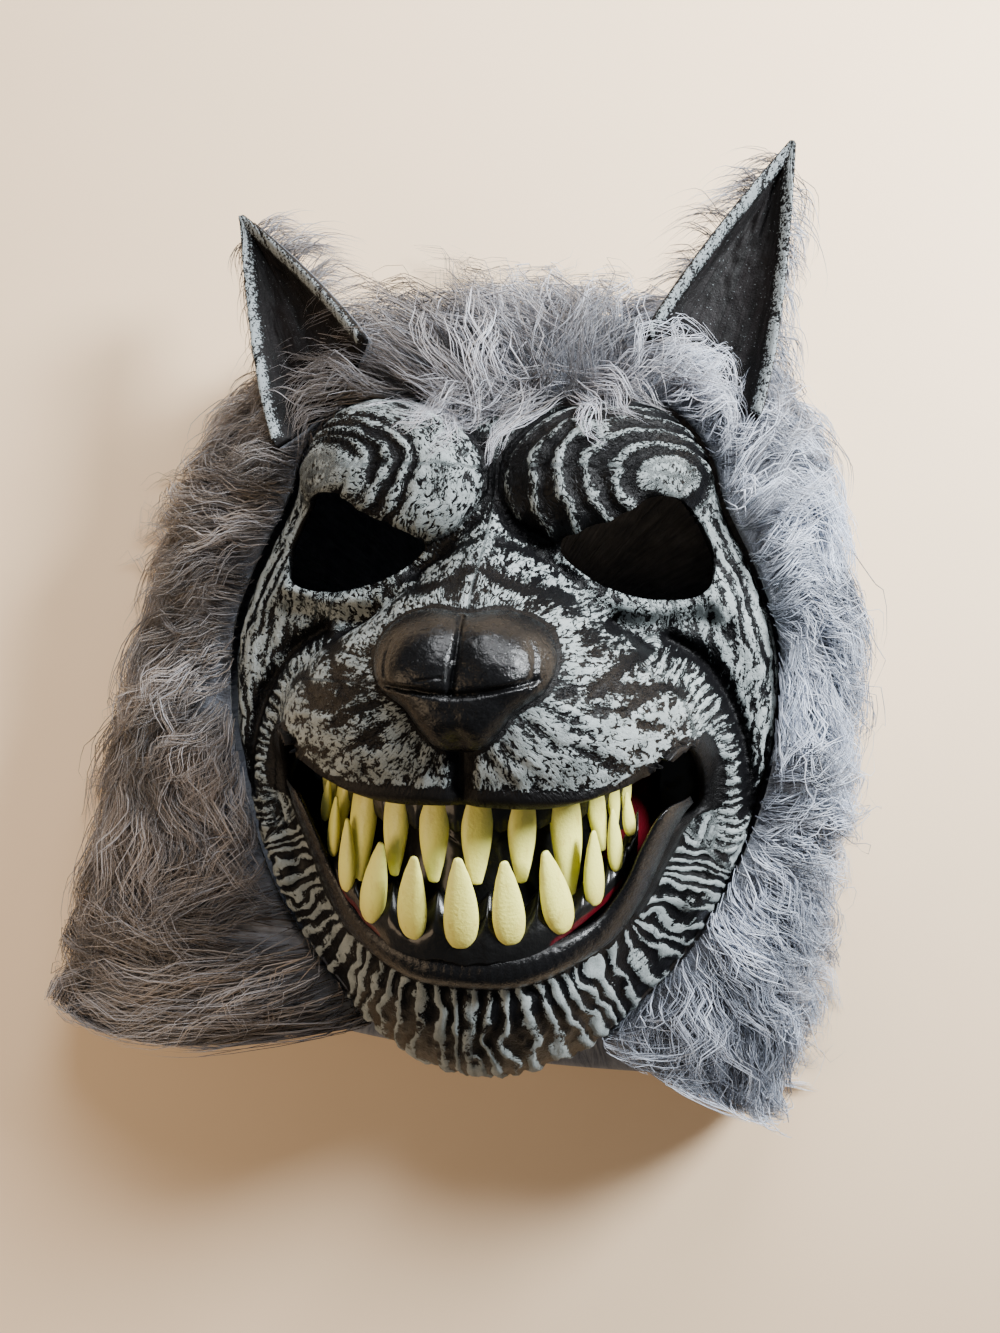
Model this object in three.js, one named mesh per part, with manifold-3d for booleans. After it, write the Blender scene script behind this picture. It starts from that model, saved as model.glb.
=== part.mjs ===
// A werewolf costume mask that lies on its back, face up, as it was laid down.
// Lengths are in millimetres. +X is the right of someone who looks down on the face, +Y runs towards
// the ears and +Z points up, out of the face. The hood's back panel lies on z = 0.
//
// The face has a frame of its own: x across the face, y up the face and z out of it, from the plane
// of the moulding's open rim. Tables hold shares: x shares of half the face's width, y shares of its
// height and z shares of its depth, or what the table's heading says.
import * as THREE from 'three';
import { mergeVertices } from 'three/addons/utils/BufferGeometryUtils.js';
import Module from 'manifold-3d';

const wasm = await Module();
wasm.setup();

// Driving sizes of the moulded face.
const FACE_WIDTH = 222;
const FACE_HEIGHT = 262;
const FACE_DEPTH = 122;
const FACE_WALL = 2.6;
const CHEEK_HEIGHT = 46;
const BROW_RISE = 18;
const BROW_LENGTH = 80;
const BROW_BREADTH = 58;
const SNOUT_BLEND = 9;
const FACE_SEAT_HEIGHT = 60;
const FACE_TURN = -6.3;
const FACE_SHIFT = 1;
const FACE_ROLL = -1.8;

// Driving sizes of the nose, the mouth and the teeth.
const NOSE_WIDTH = 57;
const NOSE_HEIGHT = 44;
const NOSE_RISE = 11;
const LIP_WIDTH = 13;
const LIP_RISE = 5;
const MOUTH_LINING_WALL = 2;
const MOUTH_FLANGE = 14;
const TOOTH_ARCH_WIDTH = 112;
const TOOTH_ROWS_APART = 11.5;
const LOWER_TOOTH_LEAN = 13;
const UPPER_ROW_SHIFT = -4.2;
const LOWER_ROW_SHIFT = -1.8;
const TOOTH_THICKNESS = 0.56;
const UPPER_GUM_WALL = 9;
const LOWER_GUM_WALL = 11;

// Driving sizes of the hood and the ears.
const HOOD_WIDTH = 340;
const HOOD_LENGTH = 350;
const HOOD_CLOTH = 3;
const PANEL_THICKNESS = 5;
const PANEL_NECK_CURVE = 14;
const LOCK_LENGTH = 44;
const LOCK_WIDTH = 19;
const NECK_FLARE = 16;
const EAR_LENGTH = 82;
const EAR_BASE = 52;
const EAR_LEAN = -24;
const EAR_CUP = 12;
const EAR_WALL = 3;
const EAR_FUR_BACKING = 2;

// Clearances between pieces that touch on the real mask.
const GAP = 0.3;

const HALF_WIDTH = FACE_WIDTH / 2;
const FACE_CENTRE_Y = -0.095 * FACE_HEIGHT;

// Edge of the moulding, seen from the front: half of it, from the forehead down to the chin.
const FACE_OUTLINE = [
  { x: 0, y: 0.385 }, { x: 0.273, y: 0.401 }, { x: 0.564, y: 0.393 }, { x: 0.727, y: 0.324 },
  { x: 0.785, y: 0.252 }, { x: 0.922, y: 0.137 }, { x: 0.996, y: 0.038 }, { x: 0.99, y: -0.107 },
  { x: 0.928, y: -0.225 }, { x: 0.772, y: -0.38 }, { x: 0.566, y: -0.49 }, { x: 0.33, y: -0.58 },
  { x: 0, y: -0.616 },
];

// One eye hole, from its inner corner along the brow and back under the eye.
const EYE_HOLE = [
  { x: 0.227, y: 0.168 }, { x: 0.409, y: 0.206 }, { x: 0.545, y: 0.239 }, { x: 0.655, y: 0.233 },
  { x: 0.752, y: 0.165 }, { x: 0.71, y: 0.114 }, { x: 0.545, y: 0.101 }, { x: 0.391, y: 0.115 },
  { x: 0.291, y: 0.137 },
];

// Half of the mouth hole, from the middle of the upper lip round the corner to the lower lip.
const MOUTH_HOLE = [
  { x: 0, y: -0.168 }, { x: 0.236, y: -0.168 }, { x: 0.391, y: -0.153 }, { x: 0.518, y: -0.13 },
  { x: 0.609, y: -0.094 }, { x: 0.682, y: -0.107 }, { x: 0.727, y: -0.153 }, { x: 0.718, y: -0.195 },
  { x: 0.618, y: -0.214 }, { x: 0.545, y: -0.26 }, { x: 0.482, y: -0.313 }, { x: 0.382, y: -0.355 },
  { x: 0.236, y: -0.378 }, { x: 0, y: -0.385 },
];

// Sections across the snout and the jaw: the height of the ridge line and the half width.
const SNOUT = [
  { y: 0.267, top: 0.311, half: 0.11 }, { y: 0.214, top: 0.41, half: 0.18 },
  { y: 0.168, top: 0.541, half: 0.255 }, { y: 0.122, top: 0.705, half: 0.327 },
  { y: 0.076, top: 0.844, half: 0.436 }, { y: 0.023, top: 0.91, half: 0.6 },
  { y: -0.038, top: 0.926, half: 0.745 }, { y: -0.107, top: 0.91, half: 0.791 },
  { y: -0.168, top: 0.852, half: 0.764 }, { y: -0.237, top: 0.746, half: 0.727 },
  { y: -0.313, top: 0.664, half: 0.664 }, { y: -0.389, top: 0.639, half: 0.6 },
  { y: -0.473, top: 0.574, half: 0.545 }, { y: -0.557, top: 0.475, half: 0.418 },
  { y: -0.611, top: 0.377, half: 0.309 },
];

// Folds of the moulding: a line through three or more places, how far it stands out (or sinks in),
// and its half width as a share of half the face's width.
const FOLDS = [
  { name: 'cheek strip', rise: 0.05, half: 0.06,
    line: [[0.545, 0.023], [0.69, -0.019], [0.79, -0.076], [0.836, -0.164], [0.827, -0.24], [0.727, -0.324]] },
  { name: 'groove beside the strip', rise: -0.055, half: 0.032,
    line: [[0.6, 0.046], [0.727, 0.015], [0.827, -0.053], [0.886, -0.134], [0.895, -0.198]] },
  { name: 'outer cheek band', rise: 0.035, half: 0.055,
    line: [[0.764, 0.107], [0.89, 0.046], [0.945, -0.038], [0.936, -0.134]] },
  { name: 'lower eyelid', rise: 0.045, half: 0.05,
    line: [[0.3, 0.118], [0.455, 0.092], [0.582, 0.084], [0.72, 0.107]] },
  { name: 'crease under the eye', rise: -0.03, half: 0.035,
    line: [[0.4, 0.061], [0.564, 0.069], [0.727, 0.08]] },
  { name: 'lip cleft', rise: -0.035, half: 0.03,
    line: [[0, -0.09], [0, -0.13], [0, -0.168]] },
  { name: 'crease under the lower lip', rise: -0.02, half: 0.04,
    line: [[0, -0.435], [0.2, -0.428], [0.4, -0.39]] },
];

// Pillows of the upper lip: centre, half sizes and rise.
const LIP_PILLOW = { x: 0.36, y: -0.065, halfX: 0.27, halfY: 0.095, rise: 0.045 };

// The teeth's arch, as shares of the face's depth: how far out its front lies and how far its ends run back.
const TOOTH_ARCH = { front: 0.713, drop: 0.336 };

// Half of the nose's outline, as shares of half its width and of its height, from top to bottom.
const NOSE_OUTLINE = [
  { x: 0, y: 0.38 }, { x: 0.45, y: 0.4 }, { x: 0.86, y: 0.29 }, { x: 1, y: 0.09 }, { x: 0.86, y: -0.16 },
  { x: 0.52, y: -0.33 }, { x: 0.25, y: -0.53 }, { x: 0, y: -0.6 },
];

// The lower lip's middle line, half of it, from the chin to the mouth's corner, and its width there.
const LOWER_LIP = [
  { x: 0, y: -0.395, width: 1 }, { x: 0.155, y: -0.391, width: 1 }, { x: 0.3, y: -0.37, width: 0.92 },
  { x: 0.414, y: -0.345, width: 0.84 }, { x: 0.5, y: -0.296, width: 0.78 },
  { x: 0.559, y: -0.235, width: 0.74 }, { x: 0.609, y: -0.195, width: 0.7 },
  { x: 0.682, y: -0.176, width: 0.6 },
];

// Teeth of half a row: x of root and tip as shares of half the arch, y as shares of the face's height,
// and the width as a share of half the face's width.
const UPPER_TEETH = [
  { root: 0.128, tip: 0.128, rootY: -0.16, tipY: -0.277, width: 0.092 },
  { root: 0.375, tip: 0.388, rootY: -0.158, tipY: -0.276, width: 0.09 },
  { root: 0.606, tip: 0.672, rootY: -0.152, tipY: -0.3, width: 0.112 },
  { root: 0.792, tip: 0.862, rootY: -0.154, tipY: -0.246, width: 0.074 },
  { root: 0.91, tip: 0.94, rootY: -0.15, tipY: -0.218, width: 0.056 },
  { root: 1, tip: 1.005, rootY: -0.146, tipY: -0.2, width: 0.05 },
];
const LOWER_TEETH = [
  { root: 0, tip: 0, rootY: -0.36, tipY: -0.235, width: 0.104 },
  { root: 0.301, tip: 0.26, rootY: -0.354, tipY: -0.238, width: 0.098 },
  { root: 0.607, tip: 0.484, rootY: -0.342, tipY: -0.228, width: 0.104 },
  { root: 0.785, tip: 0.76, rootY: -0.312, tipY: -0.208, width: 0.08 },
  { root: 0.914, tip: 0.87, rootY: -0.27, tipY: -0.183, width: 0.064 },
  { root: 0.996, tip: 0.955, rootY: -0.224, tipY: -0.163, width: 0.054 },
];

// The half width of a tooth along its length, from root to tip.
const TOOTH_PROFILE = [
  { along: 0.05, half: 0.5 }, { along: 0.16, half: 0.86 }, { along: 0.34, half: 1 },
  { along: 0.56, half: 0.88 }, { along: 0.8, half: 0.56 }, { along: 0.96, half: 0.27 },
];

// The plainer form of a tooth's socket, which clears the tooth all round.
const SOCKET_PROFILE = [
  { along: 0.02, half: 0.55 }, { along: 0.17, half: 1.02 }, { along: 0.5, half: 1.02 },
  { along: 0.98, half: 0.34 },
];

// Stations round the hood: the face's rim angle in degrees, the outer edge on the ground as shares
// of the hood's width and length, how far up the moulding the cloth laps, in shares of depth, and how
// much of the neck's flare the cloth has there.
const HOOD_STATIONS = [
  { rim: 249, x: -0.567, y: -0.392, lap: 0.13, flare: 1 }, { rim: 228, x: -0.533, y: -0.278, lap: 0.13, flare: 0.45 },
  { rim: 205, x: -0.503, y: -0.153, lap: 0.12, flare: 0.1 }, { rim: 183, x: -0.475, y: -0.042, lap: 0.12, flare: 0 },
  { rim: 163, x: -0.444, y: 0.083, lap: 0.13, flare: 0 }, { rim: 145, x: -0.397, y: 0.206, lap: 0.15, flare: 0 },
  { rim: 128, x: -0.339, y: 0.311, lap: 0.18, flare: 0 }, { rim: 110, x: -0.233, y: 0.4, lap: 0.21, flare: 0 },
  { rim: 90, x: -0.042, y: 0.439, lap: 0.22, flare: 0 }, { rim: 68, x: 0.153, y: 0.436, lap: 0.21, flare: 0 },
  { rim: 50, x: 0.311, y: 0.397, lap: 0.18, flare: 0 }, { rim: 35, x: 0.397, y: 0.278, lap: 0.15, flare: 0 },
  { rim: 18, x: 0.422, y: 0.125, lap: 0.13, flare: 0 }, { rim: 0, x: 0.431, y: -0.042, lap: 0.12, flare: 0 },
  { rim: -20, x: 0.422, y: -0.181, lap: 0.12, flare: 0 }, { rim: -40, x: 0.403, y: -0.319, lap: 0.12, flare: 0 },
  { rim: -56, x: 0.381, y: -0.444, lap: 0.13, flare: 0.1 }, { rim: -69, x: 0.356, y: -0.556, lap: 0.13, flare: 0 },
];

// Each ear: the middle of its base, as shares of the hood's width and length and of the crown's height,
// and how far it is turned, how far its tip droops and how far it is rolled, in degrees.
const EARS = [
  { name: 'left', side: -1, x: -0.221, y: 0.32, z: 1, spin: 46, droop: 24, twist: 14 },
  { name: 'right', side: 1, x: 0.239, y: 0.333, z: 1.118, spin: 36, droop: -2, twist: 2 },
];

const MATERIALS = {
  moulding: new THREE.MeshStandardMaterial({ color: 0x7f8786, roughness: 0.6 }),
  gloss_black: new THREE.MeshStandardMaterial({ color: 0x141314, roughness: 0.25 }),
  mouth: new THREE.MeshStandardMaterial({ color: 0x3a0d10, roughness: 0.5 }),
  gum: new THREE.MeshStandardMaterial({ color: 0x1b1b1d, roughness: 0.35 }),
  tooth: new THREE.MeshStandardMaterial({ color: 0xd8d88a, roughness: 0.45 }),
  ear: new THREE.MeshStandardMaterial({ color: 0x4c4644, roughness: 0.7 }),
  fur: new THREE.MeshStandardMaterial({ color: 0x8c8784, roughness: 0.9 }),
};

const radians = THREE.MathUtils.degToRad;
const clamp = THREE.MathUtils.clamp;
const smooth = (low, high, value) => THREE.MathUtils.smoothstep(value, low, high);

// A smooth column of a table, read at a value of its key column, held at both ends.
function column(rows, key, at, name) {
  const order = Math.sign(rows[1][key] - rows[0][key]);
  const last = rows.length - 1;
  let i = 0;
  while (i < last - 1 && (at - rows[i + 1][key]) * order > 0) i += 1;
  const t = clamp((at - rows[i][key]) / (rows[i + 1][key] - rows[i][key]), 0, 1);
  const before = rows[Math.max(i - 1, 0)][name];
  const after = rows[Math.min(i + 2, last)][name];
  const from = rows[i][name];
  const to = rows[i + 1][name];
  const slopeFrom = (to - before) / 2;
  const slopeTo = (after - from) / 2;
  const t2 = t * t;
  const t3 = t2 * t;
  return (2 * t3 - 3 * t2 + 1) * from + (t3 - 2 * t2 + t) * slopeFrom
    + (3 * t2 - 2 * t3) * to + (t3 - t2) * slopeTo;
}

// A closed smooth line from half of a symmetric outline, as points in millimetres.
function closedOutline(half, scaleX, scaleY, count) {
  const right = half.map((p) => new THREE.Vector3(p.x * scaleX, p.y * scaleY, 0));
  const left = half.slice(1, -1).reverse().map((p) => new THREE.Vector3(-p.x * scaleX, p.y * scaleY, 0));
  return new THREE.CatmullRomCurve3([...right, ...left], true, 'centripetal').getPoints(count).slice(0, -1);
}

// How far a closed outline lies from a centre, by angle, as a function of the angle.
function radiusByAngle(outline, centreX, centreY) {
  const polar = outline
    .map((p) => ({ angle: Math.atan2(p.y - centreY, p.x - centreX), radius: Math.hypot(p.x - centreX, p.y - centreY) }))
    .sort((a, b) => a.angle - b.angle);
  const turn = 2 * Math.PI;
  const first = polar[0];
  const final = polar[polar.length - 1];
  const ring = [{ ...final, angle: final.angle - turn }, ...polar, { ...first, angle: first.angle + turn }];
  return (angle) => {
    const wrapped = Math.atan2(Math.sin(angle), Math.cos(angle));
    const i = ring.findIndex((p) => p.angle > wrapped);
    const [a, b] = [ring[i - 1], ring[i]];
    return a.radius + (b.radius - a.radius) * (wrapped - a.angle) / (b.angle - a.angle);
  };
}

const faceRadius = radiusByAngle(closedOutline(FACE_OUTLINE, HALF_WIDTH, FACE_HEIGHT, 240), 0, FACE_CENTRE_Y);
const MOUTH_CENTRE_Y = -0.26 * FACE_HEIGHT;
const mouthRadius = radiusByAngle(closedOutline(MOUTH_HOLE, HALF_WIDTH, FACE_HEIGHT, 240), 0, MOUTH_CENTRE_Y);
const TOOTH_ARCH_HALF = TOOTH_ARCH_WIDTH / 2;
const TOOTH_ARCH_FRONT = TOOTH_ARCH.front * FACE_DEPTH;
const TOOTH_ARCH_DROP = TOOTH_ARCH.drop * FACE_DEPTH;

// The mouth's radius taken at its largest over a few degrees, for the lining that lies behind it.
function widestMouth(angle) {
  const steps = [-9, -6, -3, 0, 3, 6, 9];
  return Math.max(...steps.map((turn) => mouthRadius(angle + radians(turn)) - 0.25 * Math.abs(turn)));
}

// The distance from a place to a fold's line, with both halves of the face folded onto one.
const FOLD_LINES = FOLDS.map((fold) => {
  const points = fold.line.map(([x, y]) => new THREE.Vector2(x * HALF_WIDTH, y * FACE_HEIGHT));
  return { ...fold, points: new THREE.SplineCurve(points).getPoints(12) };
});

function distanceToLine(points, x, y) {
  let nearest = Infinity;
  for (let i = 0; i + 1 < points.length; i += 1) {
    const [a, b] = [points[i], points[i + 1]];
    const length2 = (b.x - a.x) ** 2 + (b.y - a.y) ** 2;
    const t = clamp(((x - a.x) * (b.x - a.x) + (y - a.y) * (b.y - a.y)) / length2, 0, 1);
    nearest = Math.min(nearest, Math.hypot(x - a.x - t * (b.x - a.x), y - a.y - t * (b.y - a.y)));
  }
  return nearest;
}

// The face's front: cheeks, snout and jaw joined smoothly, then brows, lip pillows and folds on them.
function frontHeight(x, y) {
  const across = Math.abs(x);
  const shareX = across / HALF_WIDTH;
  const shareY = y / FACE_HEIGHT;
  const cheek = CHEEK_HEIGHT * (1 - 0.62 * shareX ** 2);
  const half = column(SNOUT, 'y', shareY, 'half') * HALF_WIDTH;
  const bridge = smooth(0.02, 0.2, shareY);
  const side = Math.max(1 - (across / half) ** (2.4 - 0.6 * bridge), 0) ** (0.6 + 0.5 * bridge);
  const snout = column(SNOUT, 'y', shareY, 'top') * FACE_DEPTH * side;
  let height = 0.5 * (cheek + snout + Math.hypot(cheek - snout, SNOUT_BLEND));

  const tilt = radians(20);
  const browX = across - 0.385 * HALF_WIDTH;
  const browY = y - 0.283 * FACE_HEIGHT;
  const along = (browX * Math.cos(tilt) + browY * Math.sin(tilt)) / (BROW_LENGTH / 2);
  const off = (browY * Math.cos(tilt) - browX * Math.sin(tilt)) / (BROW_BREADTH / 2);
  height += BROW_RISE * Math.exp(-((along ** 2 + off ** 2) ** 1.7));

  const pillowX = (shareX - LIP_PILLOW.x) / LIP_PILLOW.halfX;
  const pillowY = (shareY - LIP_PILLOW.y) / LIP_PILLOW.halfY;
  height += LIP_PILLOW.rise * FACE_DEPTH * Math.exp(-(pillowX ** 2) - pillowY ** 2);

  for (const fold of FOLD_LINES) {
    const away = distanceToLine(fold.points, across, y) / (fold.half * HALF_WIDTH);
    height += fold.rise * FACE_DEPTH * Math.exp(-(away ** 2));
  }
  return height;
}

// The moulding turns down to its rim over the last few millimetres of each radius.
const edgeTurn = (share) => (1 - Math.min(share, 1) ** 14) ** 0.4;

function faceHeight(x, y) {
  const angle = Math.atan2(y - FACE_CENTRE_Y, x);
  const share = Math.hypot(x, y - FACE_CENTRE_Y) / faceRadius(angle);
  return frontHeight(x, y) * edgeTurn(share);
}

// How much a wall that is measured along z must grow to keep its thickness on a slope.
function slopeFactor(x, y) {
  const step = 1;
  const slopeX = (frontHeight(x + step, y) - frontHeight(x - step, y)) / (2 * step);
  const slopeY = (frontHeight(x, y + step) - frontHeight(x, y - step)) / (2 * step);
  return Math.min(Math.hypot(1, slopeX, slopeY), 3);
}

const innerFaceHeight = (x, y) => faceHeight(x, y) - FACE_WALL * slopeFactor(x, y);

// A flat disc of triangles: [share of the radius, angle] for each point, and the rim in order.
function disc(rings, sectors) {
  const points = [[0, 0]];
  const triangles = [];
  const at = (ring, sector) => 1 + (ring - 1) * sectors + (sector % sectors);
  rings.forEach((share) => {
    for (let k = 0; k < sectors; k += 1) points.push([share, (2 * Math.PI * k) / sectors]);
  });
  for (let k = 0; k < sectors; k += 1) triangles.push([0, at(1, k), at(1, k + 1)]);
  for (let ring = 1; ring < rings.length; ring += 1) {
    for (let k = 0; k < sectors; k += 1) {
      triangles.push([at(ring, k), at(ring + 1, k), at(ring + 1, k + 1)]);
      triangles.push([at(ring, k), at(ring + 1, k + 1), at(ring, k + 1)]);
    }
  }
  return { points, triangles, rim: Array.from({ length: sectors }, (_, k) => at(rings.length, k)) };
}

// A rectangle of triangles: [u, v] from 0 to 1 for each point, and the rim in order.
function strip(countU, countV) {
  const points = [];
  const triangles = [];
  const at = (i, j) => j * (countU + 1) + i;
  for (let j = 0; j <= countV; j += 1) {
    for (let i = 0; i <= countU; i += 1) points.push([i / countU, j / countV]);
  }
  for (let j = 0; j < countV; j += 1) {
    for (let i = 0; i < countU; i += 1) {
      triangles.push([at(i, j), at(i + 1, j), at(i + 1, j + 1)]);
      triangles.push([at(i, j), at(i + 1, j + 1), at(i, j + 1)]);
    }
  }
  const rim = [];
  for (let i = 0; i < countU; i += 1) rim.push(at(i, 0));
  for (let j = 0; j < countV; j += 1) rim.push(at(countU, j));
  for (let i = countU; i > 0; i -= 1) rim.push(at(i, countV));
  for (let j = countV; j > 0; j -= 1) rim.push(at(0, j));
  return { points, triangles, rim };
}

// A closed wall from a flat sheet: upper and lower give the place of each of its points.
function wall(sheet, upper, lower) {
  const count = sheet.points.length;
  const places = [...sheet.points.map(upper), ...sheet.points.map(lower)];
  const index = [];
  sheet.triangles.forEach(([a, b, c]) => index.push(a, b, c, a + count, c + count, b + count));
  sheet.rim.forEach((a, k) => {
    const b = sheet.rim[(k + 1) % sheet.rim.length];
    index.push(a, a + count, b + count, a, b + count, b);
  });
  const geometry = new THREE.BufferGeometry();
  geometry.setAttribute('position', new THREE.Float32BufferAttribute(places.flat(), 3));
  geometry.setIndex(index);
  return geometry;
}

function toManifold(geometry) {
  const plain = geometry.clone();
  Object.keys(plain.attributes).filter((name) => name !== 'position').forEach((name) => plain.deleteAttribute(name));
  const merged = mergeVertices(plain, 1e-4);
  const made = new wasm.Manifold(new wasm.Mesh({
    numProp: 3,
    vertProperties: merged.attributes.position.array,
    triVerts: new Uint32Array(merged.index.array),
  }));
  return made;
}

function toGeometry(manifold) {
  const mesh = manifold.getMesh();
  const geometry = new THREE.BufferGeometry();
  geometry.setAttribute('position', new THREE.BufferAttribute(new Float32Array(mesh.vertProperties), 3));
  geometry.setIndex(new THREE.BufferAttribute(new Uint32Array(mesh.triVerts), 1));
  return geometry;
}

function piece(name, geometry, material) {
  const mesh = new THREE.Mesh(geometry, material);
  mesh.name = name;
  return mesh;
}

// A prism through the whole face with a closed outline, to cut a hole.
function holeCutter(outline) {
  const shape = new THREE.Shape(outline.map((p) => new THREE.Vector2(p.x, p.y)));
  const depth = 2 * FACE_DEPTH;
  const prism = new THREE.ExtrudeGeometry(shape, { depth, bevelEnabled: false });
  prism.translate(0, 0, -0.25 * depth);
  return toManifold(prism);
}

// The mouth's cutter, with its outline drawn in towards its middle by an inset.
function mouthCutter(inset) {
  const outline = closedOutline(MOUTH_HOLE, HALF_WIDTH, FACE_HEIGHT, 44).reverse();
  const middle = new THREE.Vector3(0, MOUTH_CENTRE_Y, 0);
  outline.forEach((p) => p.lerp(middle, inset / p.distanceTo(middle)));
  return holeCutter(outline);
}

function eyeOutline(side) {
  const points = EYE_HOLE.map((p) => new THREE.Vector3(side * p.x * HALF_WIDTH, p.y * FACE_HEIGHT, 0));
  if (side > 0) points.reverse();
  return new THREE.CatmullRomCurve3(points, true, 'centripetal').getPoints(26).slice(0, -1);
}

// The moulding's wall without its holes. Grown adds as much to its front and to its back.
const FACE_RINGS = [0.1, 0.2, 0.3, 0.39, 0.48, 0.57, 0.66, 0.75, 0.83, 0.9, 0.95, 0.985, 1];
function shellWall(grown) {
  const upper = ([share, angle]) => {
    const radius = share * faceRadius(angle);
    const [x, y] = [radius * Math.cos(angle), FACE_CENTRE_Y + radius * Math.sin(angle)];
    return [x, y, frontHeight(x, y) * edgeTurn(share) + grown];
  };
  const lower = ([share, angle]) => {
    const [x, y, z] = upper([share, angle]);
    const shrink = 1 - (FACE_WALL / faceRadius(angle)) * smooth(0.5, 0.97, share);
    const inner = Math.max(z - grown - FACE_WALL * slopeFactor(x, y), 0) - grown;
    return [x * shrink, FACE_CENTRE_Y + (y - FACE_CENTRE_Y) * shrink, inner];
  };
  return toManifold(wall(disc(FACE_RINGS, 44), upper, lower));
}

// The moulded face: an open-backed shell with holes for the eyes and the mouth.
function faceShell() {
  const holes = [holeCutter(eyeOutline(-1)), holeCutter(eyeOutline(1)), mouthCutter(0)];
  return toGeometry(shellWall(0).subtract(wasm.Manifold.union(holes)));
}

// What is left of a solid where others, already grown by the gap, are taken out of it.
const largest = (manifold) => manifold.decompose().sort((a, b) => b.volume() - a.volume())[0];
const carve = (geometry, others) => toGeometry(largest(toManifold(geometry).subtract(wasm.Manifold.union(others))));

// The nose pad: two upper lobes and a lower wedge, parted by grooves, seated on the snout.
function nose() {
  const outline = closedOutline(NOSE_OUTLINE, NOSE_WIDTH / 2, NOSE_HEIGHT, 120);
  const radiusAt = radiusByAngle(outline, 0, 0);
  const place = ([share, angle]) => {
    const radius = share * radiusAt(angle);
    return [radius * Math.cos(angle), radius * Math.sin(angle)];
  };
  const upper = ([share, angle]) => {
    const [x, y] = place([share, angle]);
    const middle = Math.exp(-((x / (0.035 * NOSE_WIDTH)) ** 2)) * smooth(-0.5, -0.2, y / NOSE_HEIGHT);
    const level = Math.exp(-(((y + 0.2 * NOSE_HEIGHT) / (0.05 * NOSE_HEIGHT)) ** 2));
    const dome = NOSE_RISE * (1 - share ** 2.6) ** 0.5;
    return [x, y, faceHeight(x, y) + 1.2 + dome * (1 - 0.22 * Math.max(middle, 0.6 * level))];
  };
  const lower = ([share, angle]) => {
    const [x, y] = place([share, angle]);
    return [x, y, faceHeight(x, y) - 1];
  };
  return carve(wall(disc([0.35, 0.65, 0.88, 1], 16), upper, lower), [shellWall(GAP)]);
}

// The rolled lower lip, which lies along the jaw's edge of the mouth hole. Grown adds as much to it on
// every side.
function lipRoll(grown) {
  const half = LOWER_LIP.map((p) => new THREE.Vector3(p.x * HALF_WIDTH, p.y * FACE_HEIGHT, p.width));
  const line = new THREE.CatmullRomCurve3([...half.slice(1).reverse().map((p) => new THREE.Vector3(-p.x, p.y, p.z)), ...half]);
  const place = (u, v) => {
    const at = line.getPoint(u);
    const way = line.getTangent(u);
    const flat = Math.hypot(way.x, way.y);
    const ends = smooth(0, 0.05, u) * smooth(0, 0.05, 1 - u);
    const reach = (v - 0.5) * (LIP_WIDTH * at.z * (0.45 + 0.55 * ends) + 2 * grown);
    return { x: at.x - (way.y / flat) * reach, y: at.y + (way.x / flat) * reach, ends, width: at.z };
  };
  const upper = ([u, v]) => {
    const { x, y, ends, width } = place(u, v);
    const roll = Math.sqrt(Math.max(1 - (2 * v - 1) ** 2, 0)) * LIP_RISE * width * (0.4 + 0.6 * ends);
    return [x, y, frontHeight(x, y) + 1.2 + roll + grown];
  };
  const lower = ([u, v]) => {
    const { x, y } = place(u, v);
    return [x, y, frontHeight(x, y) - 0.8 - grown];
  };
  return wall(strip(20, 3), upper, lower);
}

// The arch that the teeth stand on: flat in front, running back at both ends.
const archHeight = (x) => TOOTH_ARCH_FRONT - TOOTH_ARCH_DROP * Math.min(Math.abs(x) / TOOTH_ARCH_HALF, 1.15) ** 2;

// How much of a row's lean is left at a share of the arch: the side teeth stand straighter.
const leanShare = (share) => 1 - 0.95 * Math.min(share, 1) ** 2;

// The front of the dark lining that closes the mouth behind the gums.
function liningHeight(x, y) {
  const angle = Math.atan2(y - MOUTH_CENTRE_Y, x);
  const beyond = Math.hypot(x, y - MOUTH_CENTRE_Y) - widestMouth(angle);
  const deep = archHeight(x) - 0.15 * FACE_DEPTH;
  const seat = innerFaceHeight(x, y) - GAP;
  const inside = 1 - smooth(0.12 * MOUTH_FLANGE, 0.75 * MOUTH_FLANGE, beyond);
  return Math.min(seat + (deep - seat) * inside, seat);
}

// The lining's wall. Grown adds as much to its front and to its back.
function liningWall(grown) {
  const place = ([share, angle]) => {
    const radius = share * (widestMouth(angle) + MOUTH_FLANGE);
    return [radius * Math.cos(angle), MOUTH_CENTRE_Y + radius * Math.sin(angle)];
  };
  const upper = (point) => {
    const [x, y] = place(point);
    return [x, y, liningHeight(x, y) + grown];
  };
  const lower = (point) => {
    const [x, y] = place(point);
    const slopeX = (liningHeight(x + 1, y) - liningHeight(x - 1, y)) / 2;
    const slopeY = (liningHeight(x, y + 1) - liningHeight(x, y - 1)) / 2;
    const down = MOUTH_LINING_WALL * Math.min(Math.hypot(1, slopeX, slopeY), 3);
    return [x, y, liningHeight(x, y) - down - grown];
  };
  return wall(disc([0.45, 0.72, 0.86, 1], 20), upper, lower);
}

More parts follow.
